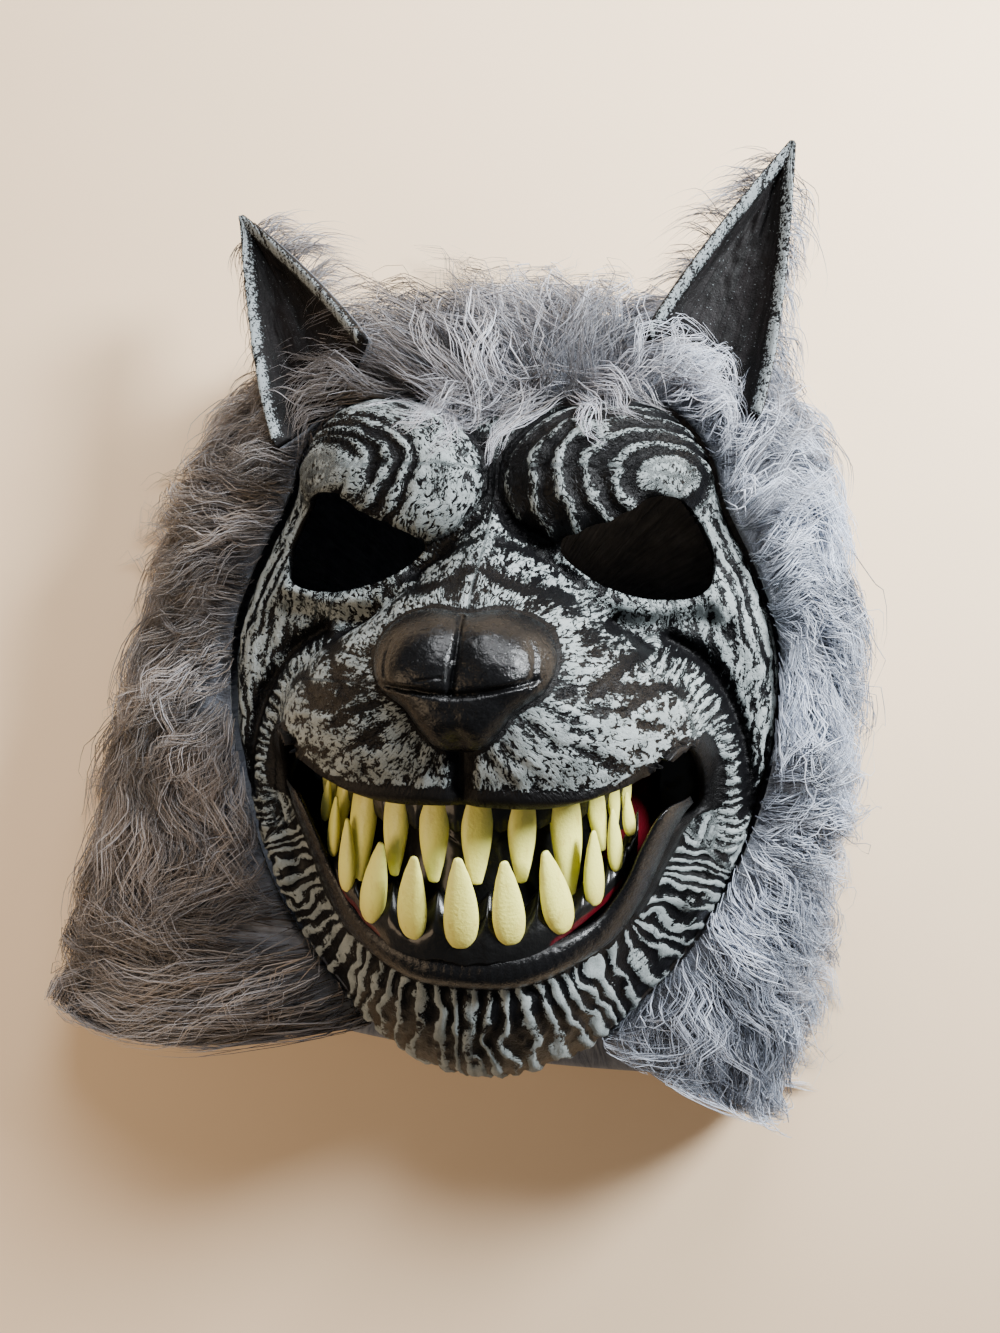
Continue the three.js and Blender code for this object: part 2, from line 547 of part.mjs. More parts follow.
// A gum: a ridge that follows the arch, between two edges that curve with the mouth.
function gumRidge(edges, forward) {
  const place = ([u, v]) => {
    const across = 2 * u - 1;
    const x = across * TOOTH_ARCH_HALF * edges.reach + edges.shift;
    const low = (edges.low + edges.lowRise * across ** 4) * FACE_HEIGHT;
    const high = (edges.high + edges.highRise * across ** 4) * FACE_HEIGHT;
    return [x, low + v * (high - low)];
  };
  const middle = (x) => archHeight(x - edges.shift) + forward
    - edges.lean * leanShare(Math.abs(x - edges.shift) / TOOTH_ARCH_HALF);
  const swell = (v) => (edges.wall / 2) * (0.45 + 0.55 * Math.sin(Math.PI * v));
  const upper = ([u, v]) => {
    const [x, y] = place([u, v]);
    return [x, y, middle(x) + swell(v)];
  };
  const lower = ([u, v]) => {
    const [x, y] = place([u, v]);
    return [x, y, middle(x) - swell(v)];
  };
  return wall(strip(12, 2), upper, lower);
}

// One tooth: a flattened teardrop from its root to a blunt tip, standing in its gum. Grown adds as
// much to it on every side.
function tooth(row, side, set, grown) {
  const place = (share, shareY, forward) => {
    const x = side * share * TOOTH_ARCH_HALF;
    return new THREE.Vector3(x + set.shift, shareY * FACE_HEIGHT, archHeight(x) + forward);
  };
  const root = place(row.root, row.rootY, set.forward - set.lean * leanShare(row.root));
  const tip = place(row.tip, row.tipY, set.forward);
  const half = (row.width * HALF_WIDTH) / 2;
  const length = tip.distanceTo(root);
  const yAxis = tip.clone().sub(root).normalize();
  const lean = (-2 * TOOTH_ARCH_DROP * side * row.root) / TOOTH_ARCH_HALF;
  const xAxis = new THREE.Vector3(1, 0, lean).normalize();
  xAxis.addScaledVector(yAxis, -xAxis.dot(yAxis)).normalize();
  const zAxis = new THREE.Vector3().crossVectors(xAxis, yAxis).normalize();
  const rows = grown > 0 ? SOCKET_PROFILE : TOOTH_PROFILE;
  const profile = [
    new THREE.Vector2(0, 0),
    ...rows.map((p) => new THREE.Vector2(p.half, p.along)),
    new THREE.Vector2(0, 1),
  ];
  const geometry = new THREE.LatheGeometry(profile, 6);
  geometry.scale(half + grown, length + 2 * grown, half * TOOTH_THICKNESS + grown);
  geometry.translate(0, -grown, 0);
  geometry.applyMatrix4(new THREE.Matrix4().makeBasis(xAxis, yAxis, zAxis).setPosition(root));
  return geometry;
}

// The face with everything that is fixed to the moulding, in the face's own frame.
const face = new THREE.Group();
face.rotation.set(0, radians(FACE_TURN), radians(FACE_ROLL), 'ZYX');
face.position.set(FACE_SHIFT, 0, FACE_SEAT_HEIGHT);
face.updateMatrixWorld(true);

// Each row of teeth is numbered from the viewer's left to the right.
const toothSockets = [];
const addTeeth = (rows, name, set) => {
  const left = rows.filter((row) => row.root > 0).reverse().map((row) => [row, -1]);
  [...left, ...rows.map((row) => [row, 1])].forEach(([row, side], k) => {
    const label = `${name}_tooth_${String(k + 1).padStart(2, '0')}`;
    face.add(piece(label, tooth(row, side, set, 0), MATERIALS.tooth));
    toothSockets.push(toManifold(tooth(row, side, set, 2 * GAP)));
  });
};
face.add(piece('face_shell', faceShell(), MATERIALS.moulding));
face.add(piece('nose', nose(), MATERIALS.gloss_black));
face.add(piece('lower_lip', carve(lipRoll(0), [shellWall(GAP)]), MATERIALS.gloss_black));
face.add(piece('mouth_lining', carve(liningWall(0), [shellWall(GAP)]), MATERIALS.mouth));
addTeeth(UPPER_TEETH, 'upper', { shift: UPPER_ROW_SHIFT, forward: 0, lean: 0 });
addTeeth(LOWER_TEETH, 'lower', { shift: LOWER_ROW_SHIFT, forward: TOOTH_ROWS_APART, lean: LOWER_TOOTH_LEAN });

const upperEdges = {
  low: -0.2, lowRise: 0.035, high: -0.137, highRise: 0.01, reach: 1.04, shift: UPPER_ROW_SHIFT, lean: 0,
  wall: UPPER_GUM_WALL,
};
const lowerEdges = {
  low: -0.38, lowRise: 0.13, high: -0.322, highRise: 0.13, reach: 1.04, shift: LOWER_ROW_SHIFT, lean: LOWER_TOOTH_LEAN,
  wall: LOWER_GUM_WALL,
};
const upperRidge = gumRidge(upperEdges, -0.22 * UPPER_GUM_WALL);
const lowerRidge = gumRidge(lowerEdges, TOOTH_ROWS_APART - 0.22 * LOWER_GUM_WALL);
const rimOfMouth = shellWall(GAP).subtract(mouthCutter(3 * GAP));
const behind = [rimOfMouth, toManifold(liningWall(GAP)), toManifold(lipRoll(2 * GAP)), ...toothSockets];
face.add(piece('upper_gum', carve(upperRidge, behind), MATERIALS.gum));
face.add(piece('lower_gum', carve(lowerRidge, behind), MATERIALS.gum));

// The hood's side and crown: a cloth wall that runs from the moulding's rim out and down to the panel.
const STATION_SPAN = HOOD_STATIONS.length - 1;
const stationRows = HOOD_STATIONS.map((row, k) => ({ ...row, at: k / STATION_SPAN }));
const station = (u, name) => column(stationRows, 'at', u, name);

function hoodRim(u) {
  const angle = radians(station(u, 'rim'));
  const radius = faceRadius(angle) + GAP * 2;
  const place = new THREE.Vector3(radius * Math.cos(angle), FACE_CENTRE_Y + radius * Math.sin(angle), station(u, 'lap') * FACE_DEPTH);
  return place.applyMatrix4(face.matrixWorld);
}

const PANEL_TOP = PANEL_THICKNESS + GAP;
const CROWN_HEIGHT = FACE_SEAT_HEIGHT + station(0.5, 'lap') * FACE_DEPTH;

// A place on the hood's outer surface: u runs round the face and t from the rim to the ground.
function hoodPlace(u, t) {
  const rim = hoodRim(u);
  const turn = (t * Math.PI) / 2;
  const out = Math.sin(turn) ** 0.92;
  const down = Math.max(Math.cos(turn), 0) ** 0.8;
  return new THREE.Vector3(
    rim.x + (station(u, 'x') * HOOD_WIDTH - rim.x) * out,
    rim.y + (station(u, 'y') * HOOD_LENGTH - rim.y) * out - NECK_FLARE * station(u, 'flare') * Math.sin(2 * turn),
    PANEL_TOP + (rim.z - PANEL_TOP) * down,
  );
}

function hoodNormal(u, t) {
  const step = 0.004;
  const [ua, ub] = [Math.max(u - step, 0), Math.min(u + step, 1)];
  const [ta, tb] = [Math.max(t - step, 0), Math.min(t + step, 1)];
  const round = hoodPlace(ub, t).sub(hoodPlace(ua, t));
  const down = hoodPlace(u, tb).sub(hoodPlace(u, ta));
  return new THREE.Vector3().crossVectors(round, down).normalize();
}

// The cloth wall between two depths below the outer surface. It stands on the panel, so its foot is level.
function hoodWall(raised, depth) {
  const place = (u, t, below) => {
    const at = hoodPlace(u, t);
    const normal = hoodNormal(u, t);
    if (t === 0) normal.set(0, 0, 1);
    if (t === 1) normal.setZ(0).normalize();
    at.addScaledVector(normal, -below);
    return [at.x, at.y, Math.max(at.z, PANEL_TOP)];
  };
  return wall(strip(36, 5), ([u, t]) => place(u, t, -raised), ([u, t]) => place(u, t, depth));
}

// One lock of long pile: a flat, pointed tuft that grows out of the cloth and lies down over it.
function lock(from, rise, fall, length, width) {
  const across = new THREE.Vector3().crossVectors(fall, rise).normalize();
  const middle = (s) => from.clone()
    .addScaledVector(rise, length * (0.2 * Math.sin(0.9 * Math.PI * s) - 0.05 * (1 - s)))
    .addScaledVector(fall, length * (s - 0.15));
  const corners = (s, half) => [[1, -0.12], [0, 0.42], [-1, -0.12]].map(([side, up]) => middle(s)
    .addScaledVector(across, side * half)
    .addScaledVector(rise, up * half));
  const places = [...corners(0.12, 0.36 * width), ...corners(0.5, 0.5 * width), middle(-0.1), middle(1)];
  places.forEach((at) => { at.z = Math.max(at.z, PANEL_TOP); });
  const index = [];
  for (let k = 0; k < 3; k += 1) {
    const next = (k + 1) % 3;
    index.push(6, k, next, k, k + 3, next + 3, k, next + 3, next, k + 3, 7, next + 3);
  }
  const geometry = new THREE.BufferGeometry();
  geometry.setAttribute('position', new THREE.Float32BufferAttribute(places.flatMap((at) => at.toArray()), 3));
  geometry.setIndex(index);
  const made = toManifold(geometry);
  return made.volume() > 0 ? made : toManifold(geometry.setIndex(index.slice().reverse()));
}

// The frame of one ear: its base's middle, and its own x, y and z directions.
function earFrame(ear) {
  const matrix = new THREE.Matrix4().makeRotationFromEuler(new THREE.Euler(
    radians(-ear.droop), radians(ear.twist * ear.side), radians(-ear.spin * ear.side), 'ZYX'));
  return matrix.setPosition(ear.x * HOOD_WIDTH, ear.y * HOOD_LENGTH, ear.z * CROWN_HEIGHT);
}

// A place on the ear's leaf. u runs from the inner to the outer edge, v from the base to the tip.
function earPlace(ear, u, v, below, grown) {
  const across = 2 * u - 1;
  const half = (EAR_BASE / 2) * (1 - v ** 1.35) + 1.6 + grown;
  const middle = EAR_LEAN * v ** 1.1;
  const cup = -EAR_CUP * (1 - Math.abs(across) ** 2.2) * (1 - v) ** 0.6 * (0.6 + 0.4 * v);
  const sink = -0.1 * EAR_LENGTH * (1 - v);
  const local = new THREE.Vector3(ear.side * (middle + across * half), sink + v * EAR_LENGTH, cup - below);
  return local.applyMatrix4(earFrame(ear)).toArray();
}

function earWall(ear, top, bottom, grown) {
  const made = toManifold(wall(strip(7, 6),
    ([u, v]) => earPlace(ear, u, v, top, grown), ([u, v]) => earPlace(ear, u, v, bottom, grown)));
  if (made.volume() > 0) return made;
  return toManifold(wall(strip(7, 6),
    ([u, v]) => earPlace(ear, u, v, bottom, grown), ([u, v]) => earPlace(ear, u, v, top, grown)));
}

// Everything that the hood covers, down through the ground, so that the ears can be trimmed to it.
const hoodCover = toManifold(wall(strip(36, 5),
  ([u, t]) => hoodPlace(u, t).addScaledVector(hoodNormal(u, t), 2 * GAP).toArray(),
  ([u, t]) => hoodPlace(u, t).setZ(-FACE_DEPTH).toArray()));
const clothBlock = toManifold(hoodWall(2 * GAP, HOOD_CLOTH + 2 * GAP));
const hoodTrim = [hoodCover, clothBlock, shellWall(GAP).transform(face.matrixWorld.toArray())];
const mask = new THREE.Group();
mask.add(face);

// Each ear is a cupped leaf with a furry back, both trimmed to sit on the hood's cloth.
const earBlocks = [];
for (const ear of EARS) {
  const leaf = largest(earWall(ear, 0, EAR_WALL, 0).subtract(wasm.Manifold.union(hoodTrim)));
  const backTop = EAR_WALL + GAP;
  const backing = earWall(ear, backTop, backTop + EAR_FUR_BACKING, 0.5);
  const tufts = [];
  for (let k = 0; k < 4; k += 1) {
    const u = k % 2;
    const v = 0.32 + 0.28 * Math.floor(k / 2);
    const from = new THREE.Vector3(...earPlace(ear, 0.15 + 0.7 * u, v, backTop + EAR_FUR_BACKING - 0.4, 0));
    const frame = earFrame(ear);
    const xAxis = new THREE.Vector3().setFromMatrixColumn(frame, 0).multiplyScalar(ear.side * (2 * u - 1));
    const yAxis = new THREE.Vector3().setFromMatrixColumn(frame, 1);
    const zAxis = new THREE.Vector3().setFromMatrixColumn(frame, 2);
    const fall = yAxis.clone().multiplyScalar(0.55).addScaledVector(xAxis, 0.8).addScaledVector(zAxis, -0.25).normalize();
    tufts.push(lock(from, zAxis.clone().negate(), fall, 0.62 * LOCK_LENGTH, 0.6 * LOCK_WIDTH));
  }
  const leafGrown = earWall(ear, -0.4 * EAR_CUP, backTop - 0.02, 0.6);
  const back = largest(wasm.Manifold.union([backing, ...tufts]).subtract(wasm.Manifold.union([leafGrown, ...hoodTrim])));
  earBlocks.push(earWall(ear, -GAP, backTop + EAR_FUR_BACKING + GAP, GAP + 0.5));
  earBlocks.push(...tufts);
  mask.add(piece(`${ear.name}_ear`, toGeometry(leaf), MATERIALS.ear));
  mask.add(piece(`${ear.name}_ear_fur`, toGeometry(back), MATERIALS.fur));
}

// Rows of locks over the hood, fused to the cloth. A lock that would meet an ear is left out.
const locks = [];
const lockRows = [0.16, 0.38, 0.6, 0.8];
lockRows.forEach((t, row) => {
  const count = 12 + row;
  for (let k = 0; k < count; k += 1) {
    const u = 0.02 + (0.95 * (k + (row % 2 ? 0.8 : 0.2))) / count;
    const from = hoodPlace(u, t);
    const normal = hoodNormal(u, t);
    const down = hoodPlace(u, Math.min(t + 0.05, 1)).sub(hoodPlace(u, t - 0.05)).normalize();
    const sway = new THREE.Vector3().crossVectors(normal, down).multiplyScalar(0.45 * Math.sin(5.1 * k + 2 * row));
    const fall = down.addScaledVector(normal, 0.05).add(sway).normalize();
    const tuft = lock(from, normal, fall, LOCK_LENGTH * (0.9 + 0.2 * Math.cos(3.7 * k + row)), LOCK_WIDTH);
    if (earBlocks.every((block) => tuft.intersect(block).volume() < 0.001)) locks.push(tuft);
  }
});
const pile = wasm.Manifold.union([toManifold(hoodWall(0, HOOD_CLOTH)), ...locks]);
const hood = largest(pile.subtract(hoodTrim[2]));
mask.add(piece('fur_hood', toGeometry(hood), MATERIALS.fur));

// The back panel: flat pile and cloth that the mask lies on, cut to the hood's outer edge and curved
// at the neck.
function backPanel() {
  const edge = Array.from({ length: 41 }, (_, k) => new THREE.Vector2(
    station(k / 40, 'x') * HOOD_WIDTH, station(k / 40, 'y') * HOOD_LENGTH));
  const [start, end] = [edge[0], edge[40]];
  const neck = Array.from({ length: 9 }, (_, k) => end.clone().lerp(start, (k + 1) / 10)
    .add(new THREE.Vector2(0, -PANEL_NECK_CURVE * Math.sin((Math.PI * (k + 1)) / 10))));
  const shape = new THREE.Shape([...edge, ...neck].reverse());
  return new THREE.ExtrudeGeometry(shape, { depth: PANEL_THICKNESS, bevelEnabled: false });
}
mask.add(piece('back_panel', backPanel(), MATERIALS.fur));

// The origin is the middle of the mask's box, on the surface that it lies on.
const box = new THREE.Box3().setFromObject(mask, true);
mask.position.set(-(box.min.x + box.max.x) / 2, -(box.min.y + box.max.y) / 2, -box.min.z);

export default mask;
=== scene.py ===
"""A werewolf costume mask that lies on its back: a dry-brushed moulded face, a toothed mouth, cupped ears
and a hood of long wavy pile.

Shapes are worked out in millimetres and written to the meshes in metres. The face has a frame of its own,
as in the part's source: x across the face, y up it and z out of it, from the plane of the moulding's rim.
"""

import math

import bpy
import numpy as np
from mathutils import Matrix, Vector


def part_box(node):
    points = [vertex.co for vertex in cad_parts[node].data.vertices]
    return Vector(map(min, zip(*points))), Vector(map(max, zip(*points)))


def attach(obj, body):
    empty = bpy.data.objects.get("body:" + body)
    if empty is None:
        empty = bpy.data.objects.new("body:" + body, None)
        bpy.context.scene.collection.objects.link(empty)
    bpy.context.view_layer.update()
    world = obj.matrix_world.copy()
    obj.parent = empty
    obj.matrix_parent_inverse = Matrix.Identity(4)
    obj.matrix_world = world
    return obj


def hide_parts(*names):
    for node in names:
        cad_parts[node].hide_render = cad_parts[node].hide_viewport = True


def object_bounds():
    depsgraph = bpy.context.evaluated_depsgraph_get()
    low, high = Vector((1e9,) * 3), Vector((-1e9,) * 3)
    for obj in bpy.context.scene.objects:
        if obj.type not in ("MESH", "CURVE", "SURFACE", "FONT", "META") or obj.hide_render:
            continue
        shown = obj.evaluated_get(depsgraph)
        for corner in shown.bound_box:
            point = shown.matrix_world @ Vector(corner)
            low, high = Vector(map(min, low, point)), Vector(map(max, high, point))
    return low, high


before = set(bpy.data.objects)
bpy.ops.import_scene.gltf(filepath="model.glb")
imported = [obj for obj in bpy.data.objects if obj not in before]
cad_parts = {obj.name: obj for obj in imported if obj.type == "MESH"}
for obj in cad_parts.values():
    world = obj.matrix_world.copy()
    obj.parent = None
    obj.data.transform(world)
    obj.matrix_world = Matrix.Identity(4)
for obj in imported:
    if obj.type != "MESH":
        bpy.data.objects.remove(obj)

bl_info = {
    "name": "Werewolf mask",
    "version": (1, 0, 0),
    "blender": (4, 5, 0),
    "location": "3D View > Sidebar > Mask",
    "description": "Builds a werewolf costume mask with a moulded face and a hood of long pile",
    "category": "Add Mesh",
}

MM = 0.001

# Driving sizes, as in the part's source, in millimetres and degrees.
FACE_WIDTH = 222
FACE_HEIGHT = 262
FACE_DEPTH = 122
CHEEK_HEIGHT = 46
BROW_RISE = 18
BROW_LENGTH = 80
BROW_BREADTH = 58
BROW_TILT = 20
SNOUT_BLEND = 9
FACE_SEAT_HEIGHT = 60
FACE_TURN = -6.3
FACE_SHIFT = 1
FACE_ROLL = -1.8
NOSE_WIDTH = 57
NOSE_HEIGHT = 44
NOSE_RISE = 11
LIP_WIDTH = 13
LIP_RISE = 5
MOUTH_LINING_WALL = 2
MOUTH_FLANGE = 14
TOOTH_ARCH_FRONT = 0.713 * FACE_DEPTH
TOOTH_ARCH_DROP = 0.336 * FACE_DEPTH
TOOTH_ARCH_HALF = 56
TOOTH_ROWS_APART = 11.5
LOWER_TOOTH_LEAN = 13
UPPER_ROW_SHIFT = -4.2
LOWER_ROW_SHIFT = -1.8
TOOTH_THICKNESS = 0.56
UPPER_GUM_WALL = 9
LOWER_GUM_WALL = 11
HOOD_WIDTH = 340
HOOD_LENGTH = 350
HOOD_CLOTH = 3
PANEL_THICKNESS = 5
PANEL_NECK_CURVE = 14
NECK_FLARE = 16
EAR_LENGTH = 82
EAR_BASE = 52
EAR_LEAN = -24
EAR_CUP = 12
EAR_WALL = 3
EAR_FUR_BACKING = 2
GAP = 0.3

HALF_WIDTH = FACE_WIDTH / 2
FACE_CENTRE_Y = -0.095 * FACE_HEIGHT
MOUTH_CENTRE_Y = -0.26 * FACE_HEIGHT
PANEL_TOP = PANEL_THICKNESS + GAP

# Sizes that only the looks need, in millimetres: a typical section's length and drop at the rim, how far
# the nose and the lip stand on the moulding and sink into it, half the width of an ear's tip and of the cord
# round it, how far the hood's surface runs on past its edge in one step of its own measure, and the hood's
# middle length round and down.
SECTION_REACH = 112
RIM_DROP = 30
PAD_STAND = 1.2
PAD_SINK = 0.6
EAR_TIP = 1.6
EAR_CORD = 2.4
PAST_EDGE = 60
HOOD_ROUND = 880.0
HOOD_DOWN = 95.0

# Half outlines, as shares of half the face's width and of its height.
FACE_OUTLINE = {
    "x": [0, 0.273, 0.564, 0.727, 0.785, 0.922, 0.996, 0.99, 0.928, 0.772, 0.566, 0.33, 0],
    "y": [0.385, 0.401, 0.393, 0.324, 0.252, 0.137, 0.038, -0.107, -0.225, -0.38, -0.49, -0.58, -0.616],
}
MOUTH_HOLE = {
    "x": [0, 0.236, 0.391, 0.518, 0.609, 0.682, 0.727, 0.718, 0.618, 0.545, 0.482, 0.382, 0.236, 0],
    "y": [-0.168, -0.168, -0.153, -0.13, -0.094, -0.107, -0.153, -0.195, -0.214, -0.26, -0.313, -0.355,
          -0.378, -0.385],
}
# A whole eye hole, from its inner corner along the brow and back under the eye.
EYE_HOLE = {
    "x": [0.227, 0.409, 0.545, 0.655, 0.752, 0.71, 0.545, 0.391, 0.291],
    "y": [0.168, 0.206, 0.239, 0.233, 0.165, 0.114, 0.101, 0.115, 0.137],
}
EYE_MIDDLE = (0.5, 0.165)
# Half of the nose's outline, as shares of half its width and of its height.
NOSE_OUTLINE = {
    "x": [0, 0.45, 0.86, 1, 0.9, 0.6, 0.42, 0.25, 0],
    "y": [0.37, 0.4, 0.29, 0.07, -0.16, -0.31, -0.46, -0.57, -0.61],
}
# Sections across the snout and the jaw.
SNOUT = {
    "y": [-0.611, -0.557, -0.473, -0.389, -0.313, -0.237, -0.168, -0.107, -0.038, 0.023, 0.076, 0.122,
          0.168, 0.214, 0.267],
    "top": [0.377, 0.475, 0.574, 0.639, 0.664, 0.746, 0.852, 0.91, 0.926, 0.91, 0.844, 0.705, 0.541, 0.41,
            0.311],
    "half": [0.309, 0.418, 0.545, 0.6, 0.664, 0.727, 0.764, 0.791, 0.745, 0.6, 0.436, 0.327, 0.255, 0.18,
             0.11],
}
LIP_PILLOW = {"x": 0.36, "y": -0.065, "half_x": 0.27, "half_y": 0.095, "rise": 0.045}

# Broad folds of the moulding: how far each stands out or sinks in, as a share of the face's depth, its
# half width as a share of half the face's width, and the places that it runs through.
FOLDS = [
    {"name": "cheek strip", "rise": 0.05, "half": 0.06,
     "x": [0.545, 0.69, 0.79, 0.836, 0.827, 0.727], "y": [0.023, -0.019, -0.076, -0.164, -0.24, -0.324]},
    {"name": "groove beside the strip", "rise": -0.055, "half": 0.032,
     "x": [0.6, 0.727, 0.827, 0.886, 0.895], "y": [0.046, 0.015, -0.053, -0.134, -0.198]},
    {"name": "outer cheek band", "rise": 0.035, "half": 0.055,
     "x": [0.764, 0.89, 0.945, 0.936], "y": [0.107, 0.046, -0.038, -0.134]},
    {"name": "lower eyelid", "rise": 0.045, "half": 0.05,
     "x": [0.3, 0.455, 0.582, 0.72], "y": [0.118, 0.092, 0.084, 0.107]},
    {"name": "crease under the eye", "rise": -0.03, "half": 0.035,
     "x": [0.4, 0.564, 0.727], "y": [0.061, 0.069, 0.08]},
    {"name": "lip cleft", "rise": -0.035, "half": 0.03, "x": [0, 0, 0], "y": [-0.09, -0.13, -0.168]},
    {"name": "crease under the lower lip", "rise": -0.02, "half": 0.04,
     "x": [0, 0.2, 0.4], "y": [-0.435, -0.428, -0.39]},
]
# Narrow creases that only show close to: the same columns.
CREASES = [
    {"name": "upper crease of the muzzle", "rise": -0.016, "half": 0.014,
     "x": [0.4, 0.46, 0.53], "y": [0.068, 0.05, 0.03]},
    {"name": "middle crease of the muzzle", "rise": -0.018, "half": 0.016,
     "x": [0.36, 0.44, 0.52], "y": [-0.03, 0.005, 0.03]},
    {"name": "lower crease of the muzzle", "rise": -0.013, "half": 0.014,
     "x": [0.45, 0.56, 0.63], "y": [-0.05, -0.02, -0.03]},
    {"name": "upper crease of the bridge", "rise": -0.014, "half": 0.014,
     "x": [0.04, 0.16, 0.3], "y": [0.165, 0.155, 0.12]},
    {"name": "lower crease of the bridge", "rise": -0.016, "half": 0.016,
     "x": [0.02, 0.12, 0.26], "y": [0.12, 0.1, 0.095]},
]
CHEEK_STRIP, STRIP_GROOVE, LIP_CLEFT = FOLDS[0], FOLDS[1], FOLDS[5]

# The lower lip's middle line, half of it, and its width there.
LOWER_LIP = {
    "x": [0, 0.155, 0.3, 0.414, 0.5, 0.559, 0.609, 0.682],
    "y": [-0.395, -0.391, -0.37, -0.345, -0.296, -0.235, -0.195, -0.176],
    "width": [1, 1, 0.92, 0.84, 0.78, 0.74, 0.7, 0.6],
}

# Teeth of half a row, from the middle outwards: root and tip across the arch, root and tip up the face,
# and the width.
UPPER_TEETH = [
    (0.128, 0.128, -0.16, -0.277, 0.092), (0.375, 0.388, -0.158, -0.276, 0.09),
    (0.606, 0.672, -0.152, -0.3, 0.112), (0.792, 0.862, -0.154, -0.246, 0.074),
    (0.91, 0.94, -0.15, -0.218, 0.056), (1, 1.005, -0.146, -0.2, 0.05),
]
LOWER_TEETH = [
    (0, 0, -0.36, -0.235, 0.104), (0.301, 0.26, -0.354, -0.238, 0.098), (0.607, 0.484, -0.342, -0.228, 0.104),
    (0.785, 0.76, -0.312, -0.208, 0.08), (0.914, 0.87, -0.27, -0.183, 0.064),
    (0.996, 0.955, -0.224, -0.163, 0.054),
]
# How wide a tooth is along its length: blunt below the upper gum, round at the lower one.
TOOTH_PROFILES = {
    "upper": {"along": [0, 0.03, 0.12, 0.34, 0.56, 0.8, 0.93, 0.985, 1],
              "half": [0.7, 0.84, 0.96, 1.03, 0.95, 0.68, 0.46, 0.34, 0.1]},
    "lower": {"along": [0, 0.04, 0.14, 0.32, 0.56, 0.8, 0.94, 0.985, 1],
              "half": [0, 0.55, 0.88, 1.02, 0.9, 0.6, 0.34, 0.24, 0.1]},
}

# Stations round the hood, from the neck's left end over the crown to its right end: the rim's angle, the
# outer edge on the ground, the cloth's lap on the moulding and the neck's flare.
HOOD_STATIONS = {
    "rim": [249, 228, 205, 183, 163, 145, 128, 110, 90, 68, 50, 35, 18, 0, -20, -40, -56, -69],
    "x": [-0.567, -0.533, -0.503, -0.475, -0.444, -0.397, -0.339, -0.233, -0.042, 0.153, 0.311, 0.397, 0.422,
          0.431, 0.422, 0.403, 0.381, 0.356],
    "y": [-0.392, -0.278, -0.153, -0.042, 0.083, 0.206, 0.311, 0.4, 0.439, 0.436, 0.397, 0.278, 0.125,
          -0.042, -0.181, -0.319, -0.444, -0.556],
    "lap": [0.13, 0.13, 0.12, 0.12, 0.13, 0.15, 0.18, 0.21, 0.22, 0.21, 0.18, 0.15, 0.13, 0.12, 0.12, 0.12,
            0.13, 0.13],
    "flare": [1, 0.45, 0.1, 0, 0, 0, 0, 0, 0, 0, 0, 0, 0, 0, 0, 0, 0.1, 0],
}
HOOD_STATIONS["at"] = list(np.linspace(0, 1, len(HOOD_STATIONS["rim"])))

# Each ear: the middle of its base, as shares of the hood's width and length and of the crown's height,
# and its turns in degrees.
EARS = {
    "left": {"side": -1, "x": -0.221, "y": 0.32, "z": 1, "spin": 46, "droop": 24, "twist": 14},
    "right": {"side": 1, "x": 0.239, "y": 0.333, "z": 1.118, "spin": 36, "droop": -2, "twist": 2},
}


# Sums that the shapes share

def smoothstep(low, high, value):
    """Runs smoothly from 0 at low to 1 at high."""
    t = np.clip((value - low) / (high - low), 0, 1)
    return t * t * (3 - 2 * t)


def column(table, key, at, name):
    """A table's column read smoothly: cubic pieces whose end slopes are half the neighbours' difference."""
    keys, values = np.array(table[key], float), np.array(table[name], float)
    i = np.clip(np.searchsorted(keys, at, side="right") - 1, 0, len(keys) - 2)
    t = np.clip((at - keys[i]) / (keys[i + 1] - keys[i]), 0, 1)
    padded = np.concatenate(([values[0]], values, [values[-1]]))
    slope = (padded[2:] - padded[:-2]) / 2
    start, end = values[i], values[i + 1]
    return ((2 * t**3 - 3 * t**2 + 1) * start + (t**3 - 2 * t**2 + t) * slope[i]
            + (3 * t**2 - 2 * t**3) * end + (t**3 - t**2) * slope[i + 1])


def smooth_line(points, closed=False, steps=14):
    """A centripetal spline through the points: each span is a cubic whose end slopes come from the square
    roots of the distances to its neighbours."""
    points = np.array(points, float)
    if closed:
        ring = np.vstack([points[-1:], points, points[:2]])
    else:
        ring = np.vstack([2 * points[:1] - points[1:2], points, 2 * points[-1:] - points[-2:-1]])
    p0, p1, p2, p3 = ring[:-3], ring[1:-2], ring[2:-1], ring[3:]
    d0, d1, d2 = (np.maximum(np.sqrt(np.linalg.norm(b - a, axis=1, keepdims=True)), 1e-6)
                  for a, b in ((p0, p1), (p1, p2), (p2, p3)))
    m1 = ((p1 - p0) / d0 - (p2 - p0) / (d0 + d1) + (p2 - p1) / d1) * d1
    m2 = ((p2 - p1) / d1 - (p3 - p1) / (d1 + d2) + (p3 - p2) / d2) * d1
    t = (np.arange(steps) / steps)[None, :, None]
    p1, p2, m1, m2 = (a[:, None, :] for a in (p1, p2, m1, m2))
    line = ((2 * t**3 - 3 * t**2 + 1) * p1 + (t**3 - 2 * t**2 + t) * m1
            + (3 * t**2 - 2 * t**3) * p2 + (t**3 - t**2) * m2).reshape(-1, points.shape[1])
    return line if closed else np.vstack([line, points[-1:]])


def mirrored_loop(half, scale_x, scale_y):
    """A closed smooth line from half of a symmetric outline."""
    x, y = np.array(half["x"]) * scale_x, np.array(half["y"]) * scale_y
    points = np.column_stack([np.concatenate([x, -x[-2:0:-1]]), np.concatenate([y, y[-2:0:-1]])])
    return smooth_line(points, closed=True)


